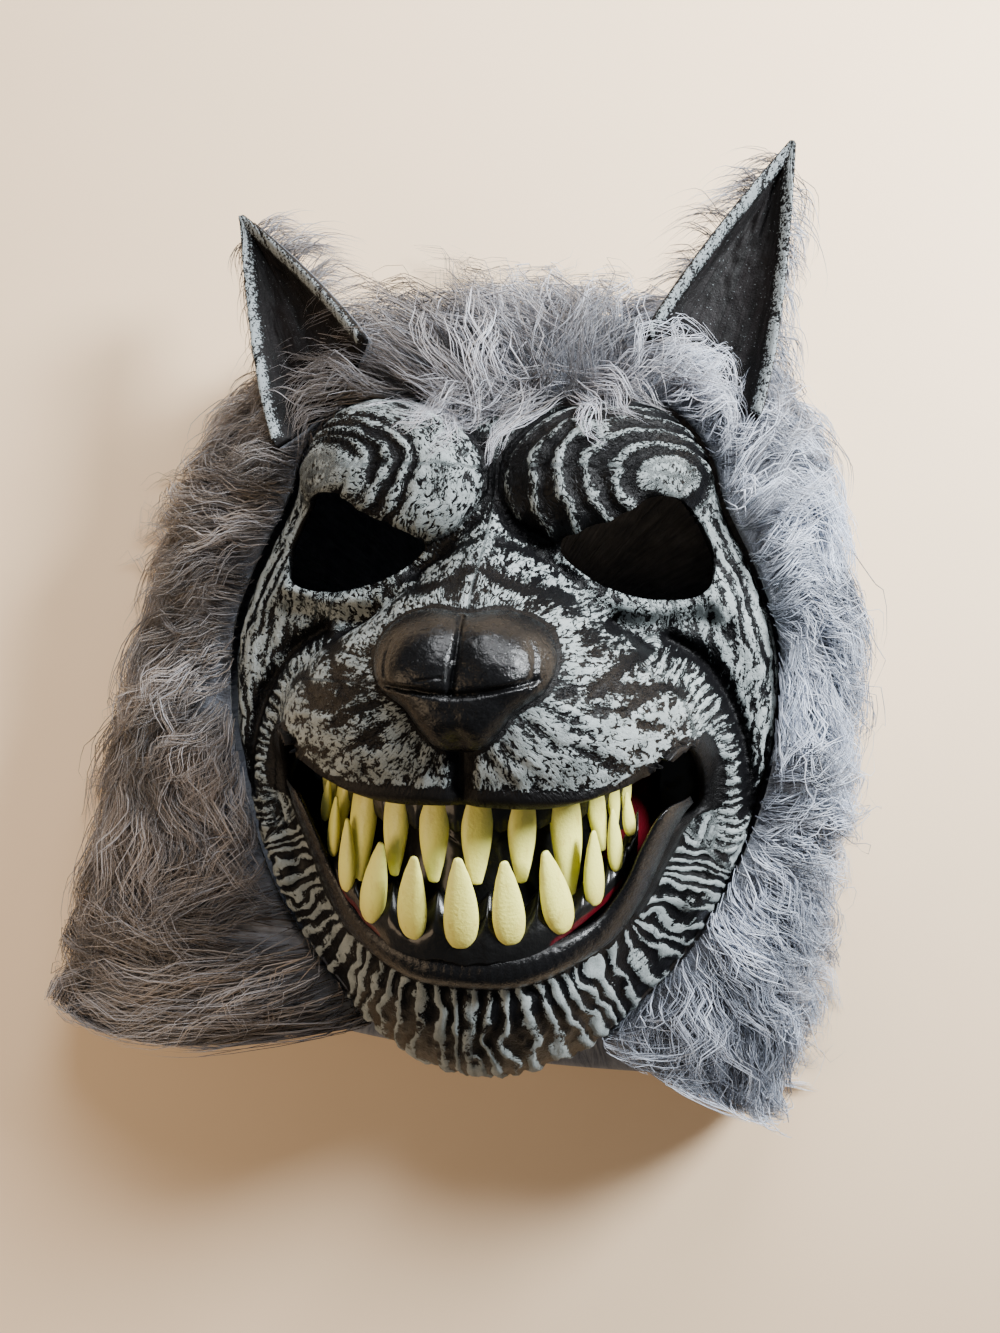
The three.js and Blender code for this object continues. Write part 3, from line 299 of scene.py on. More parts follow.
def radius_by_angle(loop, centre):
    """The distance of a closed line from a centre inside it, as a function of the angle."""
    away = loop - np.array(centre)
    angle, radius = np.arctan2(away[:, 1], away[:, 0]), np.hypot(away[:, 0], away[:, 1])
    order = np.argsort(angle)
    return lambda at: np.interp(at, angle[order], radius[order], period=2 * math.pi)


def nearest_on_line(line, x, y):
    """For each place its distance from a line, how far along the line it is, and its side of it."""
    starts, ends = line[:-1], line[1:]
    spans = ends - starts
    lengths = np.linalg.norm(spans, axis=1)
    before = np.concatenate(([0], np.cumsum(lengths)[:-1]))
    best = np.full(x.shape, np.inf)
    along, side = np.zeros(x.shape), np.zeros(x.shape)
    for (ax, ay), (dx, dy), length, start in zip(starts, spans, lengths, before):
        t = np.clip(((x - ax) * dx + (y - ay) * dy) / max(length**2, 1e-9), 0, 1)
        away_x, away_y = x - ax - t * dx, y - ay - t * dy
        away = np.hypot(away_x, away_y)
        nearer = away < best
        best = np.where(nearer, away, best)
        along = np.where(nearer, start + t * length, along)
        side = np.where(nearer, np.sign(dx * away_y - dy * away_x), side)
    return best, along, side


LATTICE = np.random.default_rng(11).random((8, 64, 64)) * 2 - 1


def noise(x, y, layer=0):
    """Smooth noise from -1 to 1: random values at whole places, joined by smooth steps."""
    i, j = np.floor(x).astype(int), np.floor(y).astype(int)
    fx, fy = smoothstep(0, 1, x - i), smoothstep(0, 1, y - j)
    table = LATTICE[layer % len(LATTICE)]
    i, j, i1, j1 = i % 64, j % 64, (i + 1) % 64, (j + 1) % 64
    low = table[i, j] * (1 - fx) + table[i1, j] * fx
    high = table[i, j1] * (1 - fx) + table[i1, j1] * fx
    return low * (1 - fy) + high * fy


def rough(x, y, size, layer=0, octaves=3):
    """Noise summed over octaves, each half as large and half as strong as the one before."""
    total = sum(0.5**k * noise(x * 2**k / size + 7.3 * k, y * 2**k / size - 3.1 * k, layer + k)
                for k in range(octaves))
    return total / sum(0.5**k for k in range(octaves))


def bell(value):
    """A rise of 1 at a value of 0 that dies away on both sides: exp(-value squared)."""
    return np.exp(-(value**2))


def ridge(phase, skew=0.0, breadth=0.7):
    """Rounded ridges with narrow grooves: a cosine of the phase, leant over by skew and widened."""
    turn = 2 * math.pi * phase
    return (0.5 + 0.5 * np.cos(turn + skew * np.sin(turn))) ** breadth


# The face's form

def line_of(fold):
    """A fold's middle line on the face's right half."""
    return smooth_line(np.column_stack([np.array(fold["x"]) * HALF_WIDTH, np.array(fold["y"]) * FACE_HEIGHT]),
                       steps=8)


FACE_RADIUS = radius_by_angle(mirrored_loop(FACE_OUTLINE, HALF_WIDTH, FACE_HEIGHT), (0, FACE_CENTRE_Y))
MOUTH_LOOP = mirrored_loop(MOUTH_HOLE, HALF_WIDTH, FACE_HEIGHT)
MOUTH_RADIUS = radius_by_angle(MOUTH_LOOP, (0, MOUTH_CENTRE_Y))
NOSE_RADIUS = radius_by_angle(mirrored_loop(NOSE_OUTLINE, NOSE_WIDTH / 2, NOSE_HEIGHT), (0, 0))
EYE_CENTRE = (EYE_MIDDLE[0] * HALF_WIDTH, EYE_MIDDLE[1] * FACE_HEIGHT)
EYE_LOOP = smooth_line(np.column_stack([np.array(EYE_HOLE["x"]) * HALF_WIDTH,
                                        np.array(EYE_HOLE["y"]) * FACE_HEIGHT]), closed=True)
EYE_RADIUS = radius_by_angle(EYE_LOOP, EYE_CENTRE)


def brow_place(x, y):
    """Where a place lies on the brow's oval: its share along the oval and across it."""
    tilt = math.radians(BROW_TILT)
    away_x, away_y = np.abs(x) - 0.385 * HALF_WIDTH, y - 0.283 * FACE_HEIGHT
    along = (away_x * math.cos(tilt) + away_y * math.sin(tilt)) / (BROW_LENGTH / 2)
    off = (away_y * math.cos(tilt) - away_x * math.sin(tilt)) / (BROW_BREADTH / 2)
    return along, off


def front_height(x, y):
    """The face's smooth front: cheeks and snout joined by a rounded maximum, then brows, lip pillows and
    folds, each a bell-shaped rise round its place or line."""
    across, share_y = np.abs(x), y / FACE_HEIGHT
    share_x = across / HALF_WIDTH
    cheek = CHEEK_HEIGHT * (1 - 0.62 * share_x**2)
    half = column(SNOUT, "y", share_y, "half") * HALF_WIDTH
    bridge = smoothstep(0.02, 0.2, share_y)
    side = np.maximum(1 - (across / half) ** (2.4 - 0.6 * bridge), 0) ** (0.6 + 0.5 * bridge)
    snout = column(SNOUT, "y", share_y, "top") * FACE_DEPTH * side
    height = 0.5 * (cheek + snout + np.hypot(cheek - snout, SNOUT_BLEND))
    along, off = brow_place(x, y)
    oval = along**2 + off**2
    height = height + BROW_RISE * (0.55 * np.exp(-(oval**1.7)) + 0.5 * np.sqrt(np.clip(1 - oval**2, 0, 1)))
    pillow_x = (share_x - LIP_PILLOW["x"]) / LIP_PILLOW["half_x"]
    pillow_y = (share_y - LIP_PILLOW["y"]) / LIP_PILLOW["half_y"]
    height += LIP_PILLOW["rise"] * FACE_DEPTH * np.exp(-(pillow_x**2) - pillow_y**2)
    for fold in FOLDS + CREASES:
        away = nearest_on_line(line_of(fold), across, y)[0] / (fold["half"] * HALF_WIDTH)
        height += fold["rise"] * FACE_DEPTH * bell(away)
    return height


def edge_turn(share):
    """How the moulding turns down to its rim over the last part of each radius."""
    return (1 - np.minimum(share, 1) ** 14) ** 0.4


def face_share(x, y):
    """A place's share of the face's radius."""
    angle = np.arctan2(y - FACE_CENTRE_Y, x)
    return np.hypot(x, y - FACE_CENTRE_Y) / FACE_RADIUS(angle)


def face_height(x, y):
    """The front's height with the turned-down rim."""
    return front_height(x, y) * edge_turn(face_share(x, y))


def arch_height(x):
    """The arch that the teeth stand on: flat in front, running back at both ends."""
    return TOOTH_ARCH_FRONT - TOOTH_ARCH_DROP * np.minimum(np.abs(x) / TOOTH_ARCH_HALF, 1.15) ** 2


def lean_share(share):
    """How much of a row's lean is left at a share of the arch."""
    return 1 - 0.95 * np.minimum(share, 1) ** 2


def turned(about_x, about_y, about_z):
    """The matrix of three turns in degrees: about X first, then about Y, then about Z."""
    (cx, sx), (cy, sy), (cz, sz) = ((math.cos(turn), math.sin(turn)) for turn in
                                    map(math.radians, (about_x, about_y, about_z)))
    return (np.array([[cz, -sz, 0], [sz, cz, 0], [0, 0, 1]])
            @ np.array([[cy, 0, sy], [0, 1, 0], [-sy, 0, cy]])
            @ np.array([[1, 0, 0], [0, cx, -sx], [0, sx, cx]]))


def hood_station(u, name):
    """One column of the hood's stations, read at a share of the way round."""
    return column(HOOD_STATIONS, "at", u, name)


def mask_shift():
    """How far the mask was moved when it was centred: the back panel's edge in the frame against the same
    edge here."""
    u = np.linspace(0, 1, 41)
    low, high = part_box("back_panel")
    return np.array([low.x / MM - (hood_station(u, "x") * HOOD_WIDTH).min(),
                     high.y / MM - (hood_station(u, "y") * HOOD_LENGTH).max(), 0])


FACE_MATRIX = turned(0, FACE_TURN, FACE_ROLL)
MASK_SHIFT = mask_shift()
FACE_ORIGIN = np.array([FACE_SHIFT, 0, FACE_SEAT_HEIGHT])


def on_mask(points):
    """Face places turned and moved to where the face lies, before the mask is centred."""
    return points @ FACE_MATRIX.T + FACE_ORIGIN


# The hood's form

def hood_rim(u):
    """The moulding's edge round which the hood starts."""
    angle = np.radians(hood_station(u, "rim"))
    radius = FACE_RADIUS(angle) + 2 * GAP
    return on_mask(np.stack([radius * np.cos(angle), FACE_CENTRE_Y + radius * np.sin(angle),
                             hood_station(u, "lap") * FACE_DEPTH], axis=-1))


def hood_place(u, t):
    """A place on the hood: a quarter of a squared-off oval from the rim (t = 0) to the ground (t = 1), and
    on along the ground past it."""
    rim = hood_rim(u)
    held = np.clip(t, 0, 1)
    turn = held * math.pi / 2
    out, down = np.sin(turn) ** 0.92, np.maximum(np.cos(turn), 0) ** 0.8
    edge_x, edge_y = hood_station(u, "x") * HOOD_WIDTH, hood_station(u, "y") * HOOD_LENGTH
    flare = NECK_FLARE * hood_station(u, "flare") * np.sin(2 * turn)
    way = np.stack([edge_x - rim[..., 0], edge_y - rim[..., 1]], axis=-1)
    way /= np.linalg.norm(way, axis=-1, keepdims=True)
    past = np.maximum(t - 1, 0) * PAST_EDGE
    sunk = PANEL_TOP * smoothstep(1, 1.12, t)
    return np.stack([rim[..., 0] + (edge_x - rim[..., 0]) * out + way[..., 0] * past,
                     rim[..., 1] + (edge_y - rim[..., 1]) * out - flare + way[..., 1] * past,
                     PANEL_TOP + (rim[..., 2] - PANEL_TOP) * down - sunk], axis=-1)


def hood_normal(u, t):
    """The hood's outward direction, from two small steps on its surface."""
    step = 0.004
    t = np.clip(t, 0, 0.97)
    round_way = hood_place(np.minimum(u + step, 1), t) - hood_place(np.maximum(u - step, 0), t)
    down_way = hood_place(u, t + step) - hood_place(u, np.maximum(t - step, 0))
    normal = np.cross(round_way, down_way)
    return normal / np.linalg.norm(normal, axis=-1, keepdims=True)


# Meshes

def grid_faces(rows, columns, wrap=False):
    """The quads of a grid of points, row by row. With wrap the last column joins the first."""
    i, j = np.meshgrid(np.arange(rows - 1), np.arange(columns if wrap else columns - 1), indexing="ij")
    a, b = i * columns + j, i * columns + (j + 1) % columns
    c, d = b + columns, a + columns
    return np.stack([a, b, c, d], axis=-1).reshape(-1, 4)


def square_disc(count):
    """A square grid carried onto a disc: each ring of the square becomes a ring of the disc, so there is no
    pole. Gives shares of the radius, angles and faces."""
    side = np.linspace(-1, 1, count)
    s, t = np.meshgrid(side, side)
    wide = np.abs(s) >= np.abs(t)
    share = np.maximum(np.abs(s), np.abs(t))
    flat = math.pi / 4 * t / np.where(wide & (s != 0), s, 1) + np.where(s < 0, math.pi, 0)
    steep = math.pi / 2 - math.pi / 4 * s / np.where(wide, 1, t) + np.where(t < 0, math.pi, 0)
    return share.ravel(), np.where(wide, flat, steep).ravel(), grid_faces(count, count)


def thicken(outer, inner, faces):
    """A closed wall between two like sheets: the inner one faces the other way, and each edge that only
    one face uses is joined to its fellow."""
    count = len(outer)
    edges = np.concatenate([faces[:, [k, (k + 1) % 4]] for k in range(4)])
    key = np.sort(edges, axis=1) @ np.array([count, 1])
    _, first, times = np.unique(key, return_index=True, return_counts=True)
    a, b = edges[first[times == 1]].T
    rim = np.column_stack([b, a, a + count, b + count])
    return np.vstack([outer, inner]), np.vstack([faces, faces[:, ::-1] + count, rim])


def tidy(points, faces, *extras):
    """The same mesh without the points that no face uses."""
    used = np.unique(faces)
    renumber = np.full(len(points), -1)
    renumber[used] = np.arange(len(used))
    return (points[used], renumber[faces]) + tuple(extra[used] for extra in extras)


def make_mesh(name, points, faces, material, attributes=None, uv=None, smooth=True):
    """A mesh object from points in millimetres before the mask is centred, and faces all of one size."""
    points = (np.asarray(points, float) + MASK_SHIFT) * MM
    faces = np.asarray(faces, np.int32)
    mesh = bpy.data.meshes.new(name)
    mesh.vertices.add(len(points))
    mesh.vertices.foreach_set("co", points.astype(np.float32).ravel())
    mesh.loops.add(faces.size)
    mesh.loops.foreach_set("vertex_index", faces.ravel())
    mesh.polygons.add(len(faces))
    mesh.polygons.foreach_set("loop_start", np.arange(len(faces), dtype=np.int32) * faces.shape[1])
    mesh.update(calc_edges=True)
    for key, values in (attributes or {}).items():
        made = mesh.attributes.new(key, "FLOAT_VECTOR" if values.ndim == 2 else "FLOAT", "POINT")
        made.data.foreach_set("vector" if values.ndim == 2 else "value", values.astype(np.float32).ravel())
    if uv is not None:
        layer = mesh.uv_layers.new(name="Surface")
        layer.data.foreach_set("uv", uv[faces.ravel()].astype(np.float32).ravel())
    mesh.polygons.foreach_set("use_smooth", np.full(len(faces), smooth))
    mesh.materials.append(material)
    made = bpy.data.objects.new(name, mesh)
    bpy.context.scene.collection.objects.link(made)
    return made


def make_wall(name, outer, inner, faces, material, attributes=None, uv=None, on_face=False):
    """A mesh of the wall between two sheets of points, turned with the face if it belongs to it."""
    points, walled = thicken(outer.reshape(-1, 3), inner.reshape(-1, 3), faces)
    return make_mesh(name, on_mask(points) if on_face else points, walled, material, attributes,
                     None if uv is None else np.vstack([uv, uv]))


def sheet_normals(points, faces):
    """Unit normals at a sheet's points: the sums of the cross products of its faces' diagonals."""
    a, b, c, d = (points[faces[:, k]] for k in range(4))
    across = np.cross(c - a, d - b)
    total = np.zeros_like(points)
    for k in range(4):
        np.add.at(total, faces[:, k], across)
    return total / np.maximum(np.linalg.norm(total, axis=1, keepdims=True), 1e-9)


def facing_up(sheet, faces):
    """The faces, turned over if the sheet of points faces down."""
    return faces[:, ::-1] if sheet_normals(sheet.reshape(-1, 3), faces)[:, 2].mean() < 0 else faces


def finish_piece(piece, slot, *nodes):
    """The piece rides on the mask's one body and stands for CAD nodes, which it hides. The slot is not used.
    """
    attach(piece, "root")
    if nodes:
        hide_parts(*nodes)


# Materials

class Finish:
    """A node material under construction. Each call adds a node and gives back the socket it makes."""

    def __init__(self, name, **settings):
        self.material = bpy.data.materials.new(name)
        self.material.use_nodes = True
        self.tree = self.material.node_tree
        self.shader = self.tree.nodes["Principled BSDF"]
        for key, value in settings.items():
            self.shader.inputs[key.replace("_", " ")].default_value = value

    def node(self, kind, inputs=(), **settings):
        made = self.tree.nodes.new(kind)
        for key, value in settings.items():
            setattr(made, key, value)
        for key, value in dict(inputs).items():
            if isinstance(value, bpy.types.NodeSocket):
                self.tree.links.new(value, made.inputs[key])
            else:
                made.inputs[key].default_value = value
        return made

    def attribute(self, name, output="Fac"):
        return self.node("ShaderNodeAttribute", attribute_name=name).outputs[output]

    def place(self, scale=(1, 1, 1)):
        """Object coordinates in millimetres, stretched by a scale."""
        at = self.node("ShaderNodeTexCoord").outputs["Object"]
        size = tuple(1000 * s for s in scale)
        return self.node("ShaderNodeMapping", {"Vector": at, "Scale": size}).outputs["Vector"]

    def stretch(self, vector, scale):
        return self.node("ShaderNodeMapping", {"Vector": vector, "Scale": scale}).outputs["Vector"]

    def noise(self, vector, scale=1.0, detail=3, roughness=0.55, distortion=0.0):
        inputs = {"Vector": vector, "Scale": scale, "Detail": detail, "Roughness": roughness,
                  "Distortion": distortion}
        return self.node("ShaderNodeTexNoise", inputs).outputs["Fac"]

    def maths(self, operation, a, b=0.0, c=0.0):
        return self.node("ShaderNodeMath", {0: a, 1: b, 2: c}, operation=operation).outputs[0]

    def plus(self, value, noise, amount, middle=0.0):
        """The value plus an amount of a noise, which is taken about its middle."""
        centred = self.maths("SUBTRACT", noise, middle) if middle else noise
        return self.maths("MULTIPLY_ADD", centred, amount, value)

    def spread(self, value, low, high, to_low=0.0, to_high=1.0):
        """The value carried smoothly from one range to another."""
        return self.node("ShaderNodeMapRange", {"Value": value, "From Min": low, "From Max": high,
                                                "To Min": to_low, "To Max": to_high},
                         interpolation_type="SMOOTHSTEP").outputs["Result"]

    def blend(self, share, a, b):
        made = self.node("ShaderNodeMix", data_type="RGBA")
        for key, value in ((0, share), (6, a), (7, b)):
            if isinstance(value, bpy.types.NodeSocket):
                self.tree.links.new(value, made.inputs[key])
            else:
                made.inputs[key].default_value = tuple(value) + (1,) if key else value
        return made.outputs[2]

    def colour(self, socket):
        self.tree.links.new(socket, self.shader.inputs["Base Color"])

    def roughness(self, socket):
        self.tree.links.new(socket, self.shader.inputs["Roughness"])

    def bump(self, height, depth, strength=1.0, coat=False):
        """Relief of a depth in millimetres, under the coat too if it has one."""
        made = self.node("ShaderNodeBump", {"Height": height, "Distance": depth * MM, "Strength": strength})
        for name in ("Normal", "Coat Normal")[:2 if coat else 1]:
            self.tree.links.new(made.outputs["Normal"], self.shader.inputs[name])


def painted_finish(name, settings):
    """Black moulding dry-brushed with grey: the paint sits where the surface stands out. Pits and strokes
    drawn out along the grain break it up, finer specks fray its edges, and ribs are a cosine of a phase."""
    made = Finish(name, Specular_IOR_Level=0.12)
    at, grain = made.place(), made.attribute("grain", "Vector")
    specks = made.noise(at, 1.5, detail=3, roughness=0.6)
    strokes = made.noise(made.stretch(grain, (1.35, 0.48, 1)), detail=4, roughness=0.62, distortion=0.5)
    pits = made.noise(made.stretch(grain, (0.7, 0.4, 1)), detail=3, distortion=0.8)
    patches = made.noise(at, 0.13, detail=2)
    pitted = made.maths("MULTIPLY", made.spread(pits, 0.5, 0.64), made.attribute("pitted"))
    broken = made.plus(made.attribute("paint"), pitted, -0.75)
    for noise, amount in ((specks, 0.9), (strokes, 1.9), (patches, 0.6)):
        broken = made.plus(broken, noise, amount, middle=0.5)
    ribs = made.maths("COSINE", made.maths("MULTIPLY", made.attribute("phase"), 2 * math.pi))
    broken = made.maths("MULTIPLY_ADD", ribs, made.attribute("ribs"), broken)
    share = made.spread(broken, 0.38, 0.58)
    thin = made.spread(made.noise(at, 2.6, 3), 0.3, 0.75, 0.72, 1.0)
    grey = made.blend(made.spread(patches, 0.35, 0.65), settings.paint, settings.paint_light)
    black = made.blend(made.attribute("dark"), settings.black, settings.black_bare)
    made.colour(made.blend(made.maths("MULTIPLY", share, thin), black, grey))
    made.roughness(made.spread(share, 0, 1, 0.4, 0.66))
    relief = made.plus(made.plus(made.plus(share, specks, 0.4), strokes, 1.1), pitted, -0.9)
    made.bump(relief, depth=0.42, strength=0.9)
    return made.material


def gloss_finish(name, colour, roughness, grain, depth):
    """Glossy paint over a surface with small lumps of a size in millimetres."""
    made = Finish(name, Specular_IOR_Level=0.05, Coat_Weight=0.42, Coat_Roughness=0.075)
    at = made.place()
    lumps = made.noise(at, 1 / grain, 4, 0.6)
    fine = made.noise(at, 3 / grain, 3)
    made.colour(made.blend(made.spread(fine, 0.35, 0.7), colour, tuple(1.5 * c + 0.001 for c in colour)))
    made.roughness(made.spread(lumps, 0.3, 0.7, roughness * 0.7, roughness * 1.4))
    made.bump(made.plus(lumps, fine, 0.35), depth, coat=True)
    return made.material


def tooth_finish(name, settings):
    """Cream enamel-like plastic, a little darker and browner at the root and in faint stains."""
    made = Finish(name, Specular_IOR_Level=0.45)
    at = made.place()
    stain = made.noise(made.place((1, 0.35, 1)), 0.35)
    root = made.spread(made.attribute("along"), 0.45, 1.0)
    shade = made.plus(made.spread(stain, 0.52, 0.78, 0, 0.5), root, 0.5)
    made.colour(made.blend(shade, settings.tooth, settings.tooth_stain))
    made.roughness(made.spread(made.noise(at, 1.4, 3), 0.3, 0.7, 0.32, 0.5))
    made.bump(made.noise(at, 0.9, 4), 0.22)
    return made.material


def lining_finish(name, settings):
    """The paint of the mouth's lining and gums: deep red where it reaches, black where it fades out."""
    made = Finish(name, Specular_IOR_Level=0.1, Coat_Weight=0.45, Coat_Roughness=0.15)
    at = made.place()
    edge = made.noise(at, 0.28, 4)
    red = made.spread(made.plus(made.attribute("red"), edge, 0.8, middle=0.5), 0.4, 0.62)
    shade = made.blend(made.noise(at, 0.9), settings.lining_red, tuple(0.5 * c for c in settings.lining_red))
    made.colour(made.blend(red, settings.lining_black, shade))
    made.roughness(made.spread(edge, 0.3, 0.7, 0.3, 0.55))
    made.bump(made.noise(at, 0.7, 4), 0.35)
    return made.material


def ear_finish(name, settings):
    """Dark moulding with furrows along the ear and a rim brushed with grey."""
    made = Finish(name, Specular_IOR_Level=0.12)
    at, surface = made.place(), made.attribute("Surface", "Vector")
    furrow = made.noise(made.stretch(surface, (16, 3.2, 1)), detail=4, roughness=0.6)
    fine = made.noise(at, 1.3, detail=4)
    hollow = made.blend(made.spread(furrow, 0.38, 0.68), settings.ear_dark, settings.ear_light)
    rim = made.plus(made.attribute("paint"), fine, 2.0, middle=0.5)
    made.colour(made.blend(made.spread(rim, 0.3, 0.5), hollow, settings.rim_paint))
    made.roughness(made.spread(fine, 0.3, 0.7, 0.45, 0.75))
    made.bump(made.plus(furrow, fine, 0.4), depth=0.7)
    return made.material


def pile_finish(name, settings):
    """One hair of the pile: dark at its root and pale at its tip, each lock in a tone of its own. The cool
    blue-grey copy is the pile where the key light falls. The warm brown-grey copy, blended in by the
    warm share, is painted shade on the side away from the key light.
    """
    made = Finish(name, Roughness=0.34, Specular_IOR_Level=0.45, Sheen_Weight=0.12, Sheen_Roughness=0.4)
    along, tone, warm = made.attribute("along"), made.attribute("tone"), made.attribute("warm")
    lift = made.plus(made.maths("MULTIPLY", tone, 0.75), along, 0.45)
    shares = made.spread(lift, 0.15, 1.0)
    lit_pile = made.blend(shares, settings.root_colour, settings.tip_colour)
    shaded_pile = made.blend(shares, settings.shaded_root, settings.shaded_tip)
    made.colour(made.blend(warm, lit_pile, shaded_pile))
    return made.material


def cloth_finish(name, settings):
    """The pile's ground under the hair: streaks that run the way the hair lies, over a knitted base."""
    made = Finish(name, Roughness=0.85, Specular_IOR_Level=0.2, Sheen_Weight=0.4, Sheen_Roughness=0.5)
    at, surface = made.place(), made.attribute("Surface", "Vector")
    streaks = made.noise(made.stretch(surface, (260, 9, 1)), detail=5, roughness=0.65, distortion=0.8)
    clumps = made.noise(at, 0.09)
    lift = made.plus(made.maths("MULTIPLY", clumps, 0.45), streaks, 0.7)
    made.colour(made.blend(made.spread(lift, 0.35, 0.85), settings.root_colour, settings.ground_light))
    made.bump(streaks, 1.6)
    return made.material


def floor_finish(name, settings):
    """A pale floor with a barely uneven sheen."""
    made = Finish(name, Specular_IOR_Level=0.3)
    at = made.place()
    lighter = tuple(min(1.04 * c, 1) for c in settings.floor_colour)
    made.colour(made.blend(made.noise(at, 0.02, detail=2), settings.floor_colour, lighter))
    made.roughness(made.spread(made.noise(at, 0.8, 2), 0.3, 0.7, 0.55, 0.7))
    return made.material


# The face

def face_sheet(count):
    """The face's grid without its relief: the rings of a square disc, spread evenly along a typical section
    from the middle to the rim. Gives the places, their shares of the radius and the faces."""
    ring, angle, faces = square_disc(count)
    r = np.linspace(0, 1, 800)
    steps = np.hypot(np.diff(r) * SECTION_REACH, np.diff(edge_turn(r)) * RIM_DROP)
    length = np.concatenate(([0], np.cumsum(steps)))
    share = np.interp(ring, length / length[-1], r)
    radius = share * FACE_RADIUS(angle)
    return radius * np.cos(angle), FACE_CENTRE_Y + radius * np.sin(angle), share, faces


# What differs between the two brows, right and then left: where the arcs' middle lies at the temple and
# how far apart they run, how much they are flattened above and below it, how broad their ridges are, how
# much of the grooves is left and how much lighter the brow is.
BROWS = {"temple_x": (64.0, 68.0), "spacing": (10.2, 7.6), "upper": (2.0, 1.8), "lower": (1.12, 1.3),
         "breadth": (0.42, 0.36), "grooves": (0.3, 0.25), "lighter": (0.02, 0.06)}
TEMPLE_Y = 72.0
# How wide a ridge of the jaw is, in millimetres.
JAW_RIDGE = 5.2


def bark(across, along, size, layer):
    """Noise drawn out along the grain, from -1 to 1."""
    return rough(across / size, along / (3.6 * size), 1, layer, 2)


def zone(on, across, along, relief, paint, phase=0.0, ribs=0.0):
    """A part of the face: where it is from 0 to 1, its grain in millimetres across and along the strokes,
    its relief in millimetres, its paint, and the phase in turns and the strength of its ribs."""
    return {"on": on, "across": across, "along": along, "relief": relief, "paint": paint,
            "phase": phase + 0 * on, "ribs": ribs * on}


def brow_zone(x, y, seed, wander, fine, depth):
    """The brows: arcs round a place at the temple, whose narrow grooves deepen and fade and are spaced
    differently on the two sides, and a dark crease round each brow's inner end."""
    across, right = np.abs(x), x > 0
    along, off = brow_place(x, y)
    oval = np.sqrt(along**2 + off**2)
    brow = {key: np.where(right, *values) for key, values in BROWS.items()}
    rise = (y - TEMPLE_Y) * np.where(y > TEMPLE_Y, brow["upper"], brow["lower"])
    from_temple = np.hypot(across - brow["temple_x"], rise) + 3.4 * wander + 1.7 * fine
    round_temple = np.arctan2(rise, across - brow["temple_x"]) * 34
    fading = smoothstep(-0.5, 0.1, rough(x + seed, y, 17, 5, 2) + brow["grooves"])
    fading = fading * np.where(right, 1, smoothstep(44, 39, from_temple) * smoothstep(11, 19, from_temple))
    arcs = 1 - (1 - ridge(from_temple / brow["spacing"] + 0.1, 0.6, brow["breadth"])) * fading
    on = smoothstep(1.12, 0.95, oval) * smoothstep(6, 13, from_temple) * (across < 92)
    strokes = bark(from_temple, round_temple, 2.6, 3)
    crease = bell((oval - 1.06) / 0.075) * smoothstep(0.5, 0.2, along) * smoothstep(-0.95, -0.7, off)
    relief = on * (depth * (arcs - 0.8) + 0.55 * strokes) - 1.5 * crease
    paint = (on * (1.45 * (np.minimum(arcs, 0.9) - 0.86) + 0.4 * strokes) - 0.55 * crease
             + 0.1 * smoothstep(0.9, 0.4, oval) + brow["lighter"] * (oval < 1.1))
    return zone(on, from_temple, round_temple, relief, paint)


def cheek_zones(x, y, share, wander, fine, depth):
    """The cheek strip with short ridges across it, and the band outside it with broken ridges along the
    rim."""
    across, share_y = np.abs(x), y / FACE_HEIGHT
    away, along, _ = nearest_on_line(line_of(CHEEK_STRIP), across, y)
    on_strip = bell(away / 8.0)
    phase = along / 3.9 + 0.7 * fine + 0.6 * wander
    ridges = np.clip(ridge(phase, 0.0, 0.9) + 0.7 * bark(along, away, 2.2, 2), 0, 1)
    strip = zone(on_strip, along, away, depth * on_strip * (ridges - 0.6), 0.25 * on_strip * (ridges - 0.5),
                 phase, 0.2)
    from_rim, round_rim = (1 - share) * 100, np.arctan2(y - FACE_CENTRE_Y, across) * 110
    on_band = (smoothstep(0.66, 0.82, share) * smoothstep(-0.34, -0.22, share_y)
               * smoothstep(0.3, 0.16, share_y) * smoothstep(0.72, 0.95, away / 10))
    phase = (from_rim + 2.6 * wander) / 4.8 + 0.6 * bark(from_rim, round_rim, 4.0, 6)
    ridges = 0.45 * ridge(phase, 0.0, 0.6) + 0.55 * (0.55 + 1.0 * bark(from_rim, round_rim, 1.9, 4))
    band = zone(on_band, from_rim, round_rim, 1.3 * depth * on_band * (ridges - 0.6),
                0.8 * on_band * (ridges - 0.5), phase, 0.22)
    return strip, band


def jaw_zone(x, y, on_strip, depth):
    """The chin and the jaw: forked ridges that run out from the lip, wider apart at the chin. Gives the
    bare edge beside the lip too."""
    share_y = y / FACE_HEIGHT
    lip = smooth_line(np.column_stack([np.array(LOWER_LIP["x"]) * HALF_WIDTH,
                                       np.array(LOWER_LIP["y"]) * FACE_HEIGHT]), steps=8)
    away, along, side = nearest_on_line(lip, np.abs(x), y)
    chin = smoothstep(-0.34, -0.43, share_y)
    phase = np.where(x > 0, 1, -1) * (0.18 * along + 0.0006 * along**2)
    phase = phase + (0.85 - 0.35 * chin) * rough(x, y, 12, 4, 2) + (0.5 - 0.2 * chin) * rough(x, y, 5.5, 5, 2)
    forks = bark(phase * JAW_RIDGE, away, 2.4, 7)
    ridges = np.clip(ridge(phase, 0.0, 1.25) + 0.3 * forks, 0, 1)
    on = (smoothstep(4, 8, away) * (side < 0) * smoothstep(-0.17, -0.24, share_y)
          * (1 - 0.8 * on_strip * (share_y > -0.25)))
    jaw = zone(on, phase * JAW_RIDGE, away, depth * on * (0.65 + 0.75 * chin) * (ridges - 0.55),
               on * (0.9 * forks - 0.2), phase, 0.62)
    return jaw, smoothstep(8.0, 5.5, away) * (side < 0) * (share_y < -0.2)


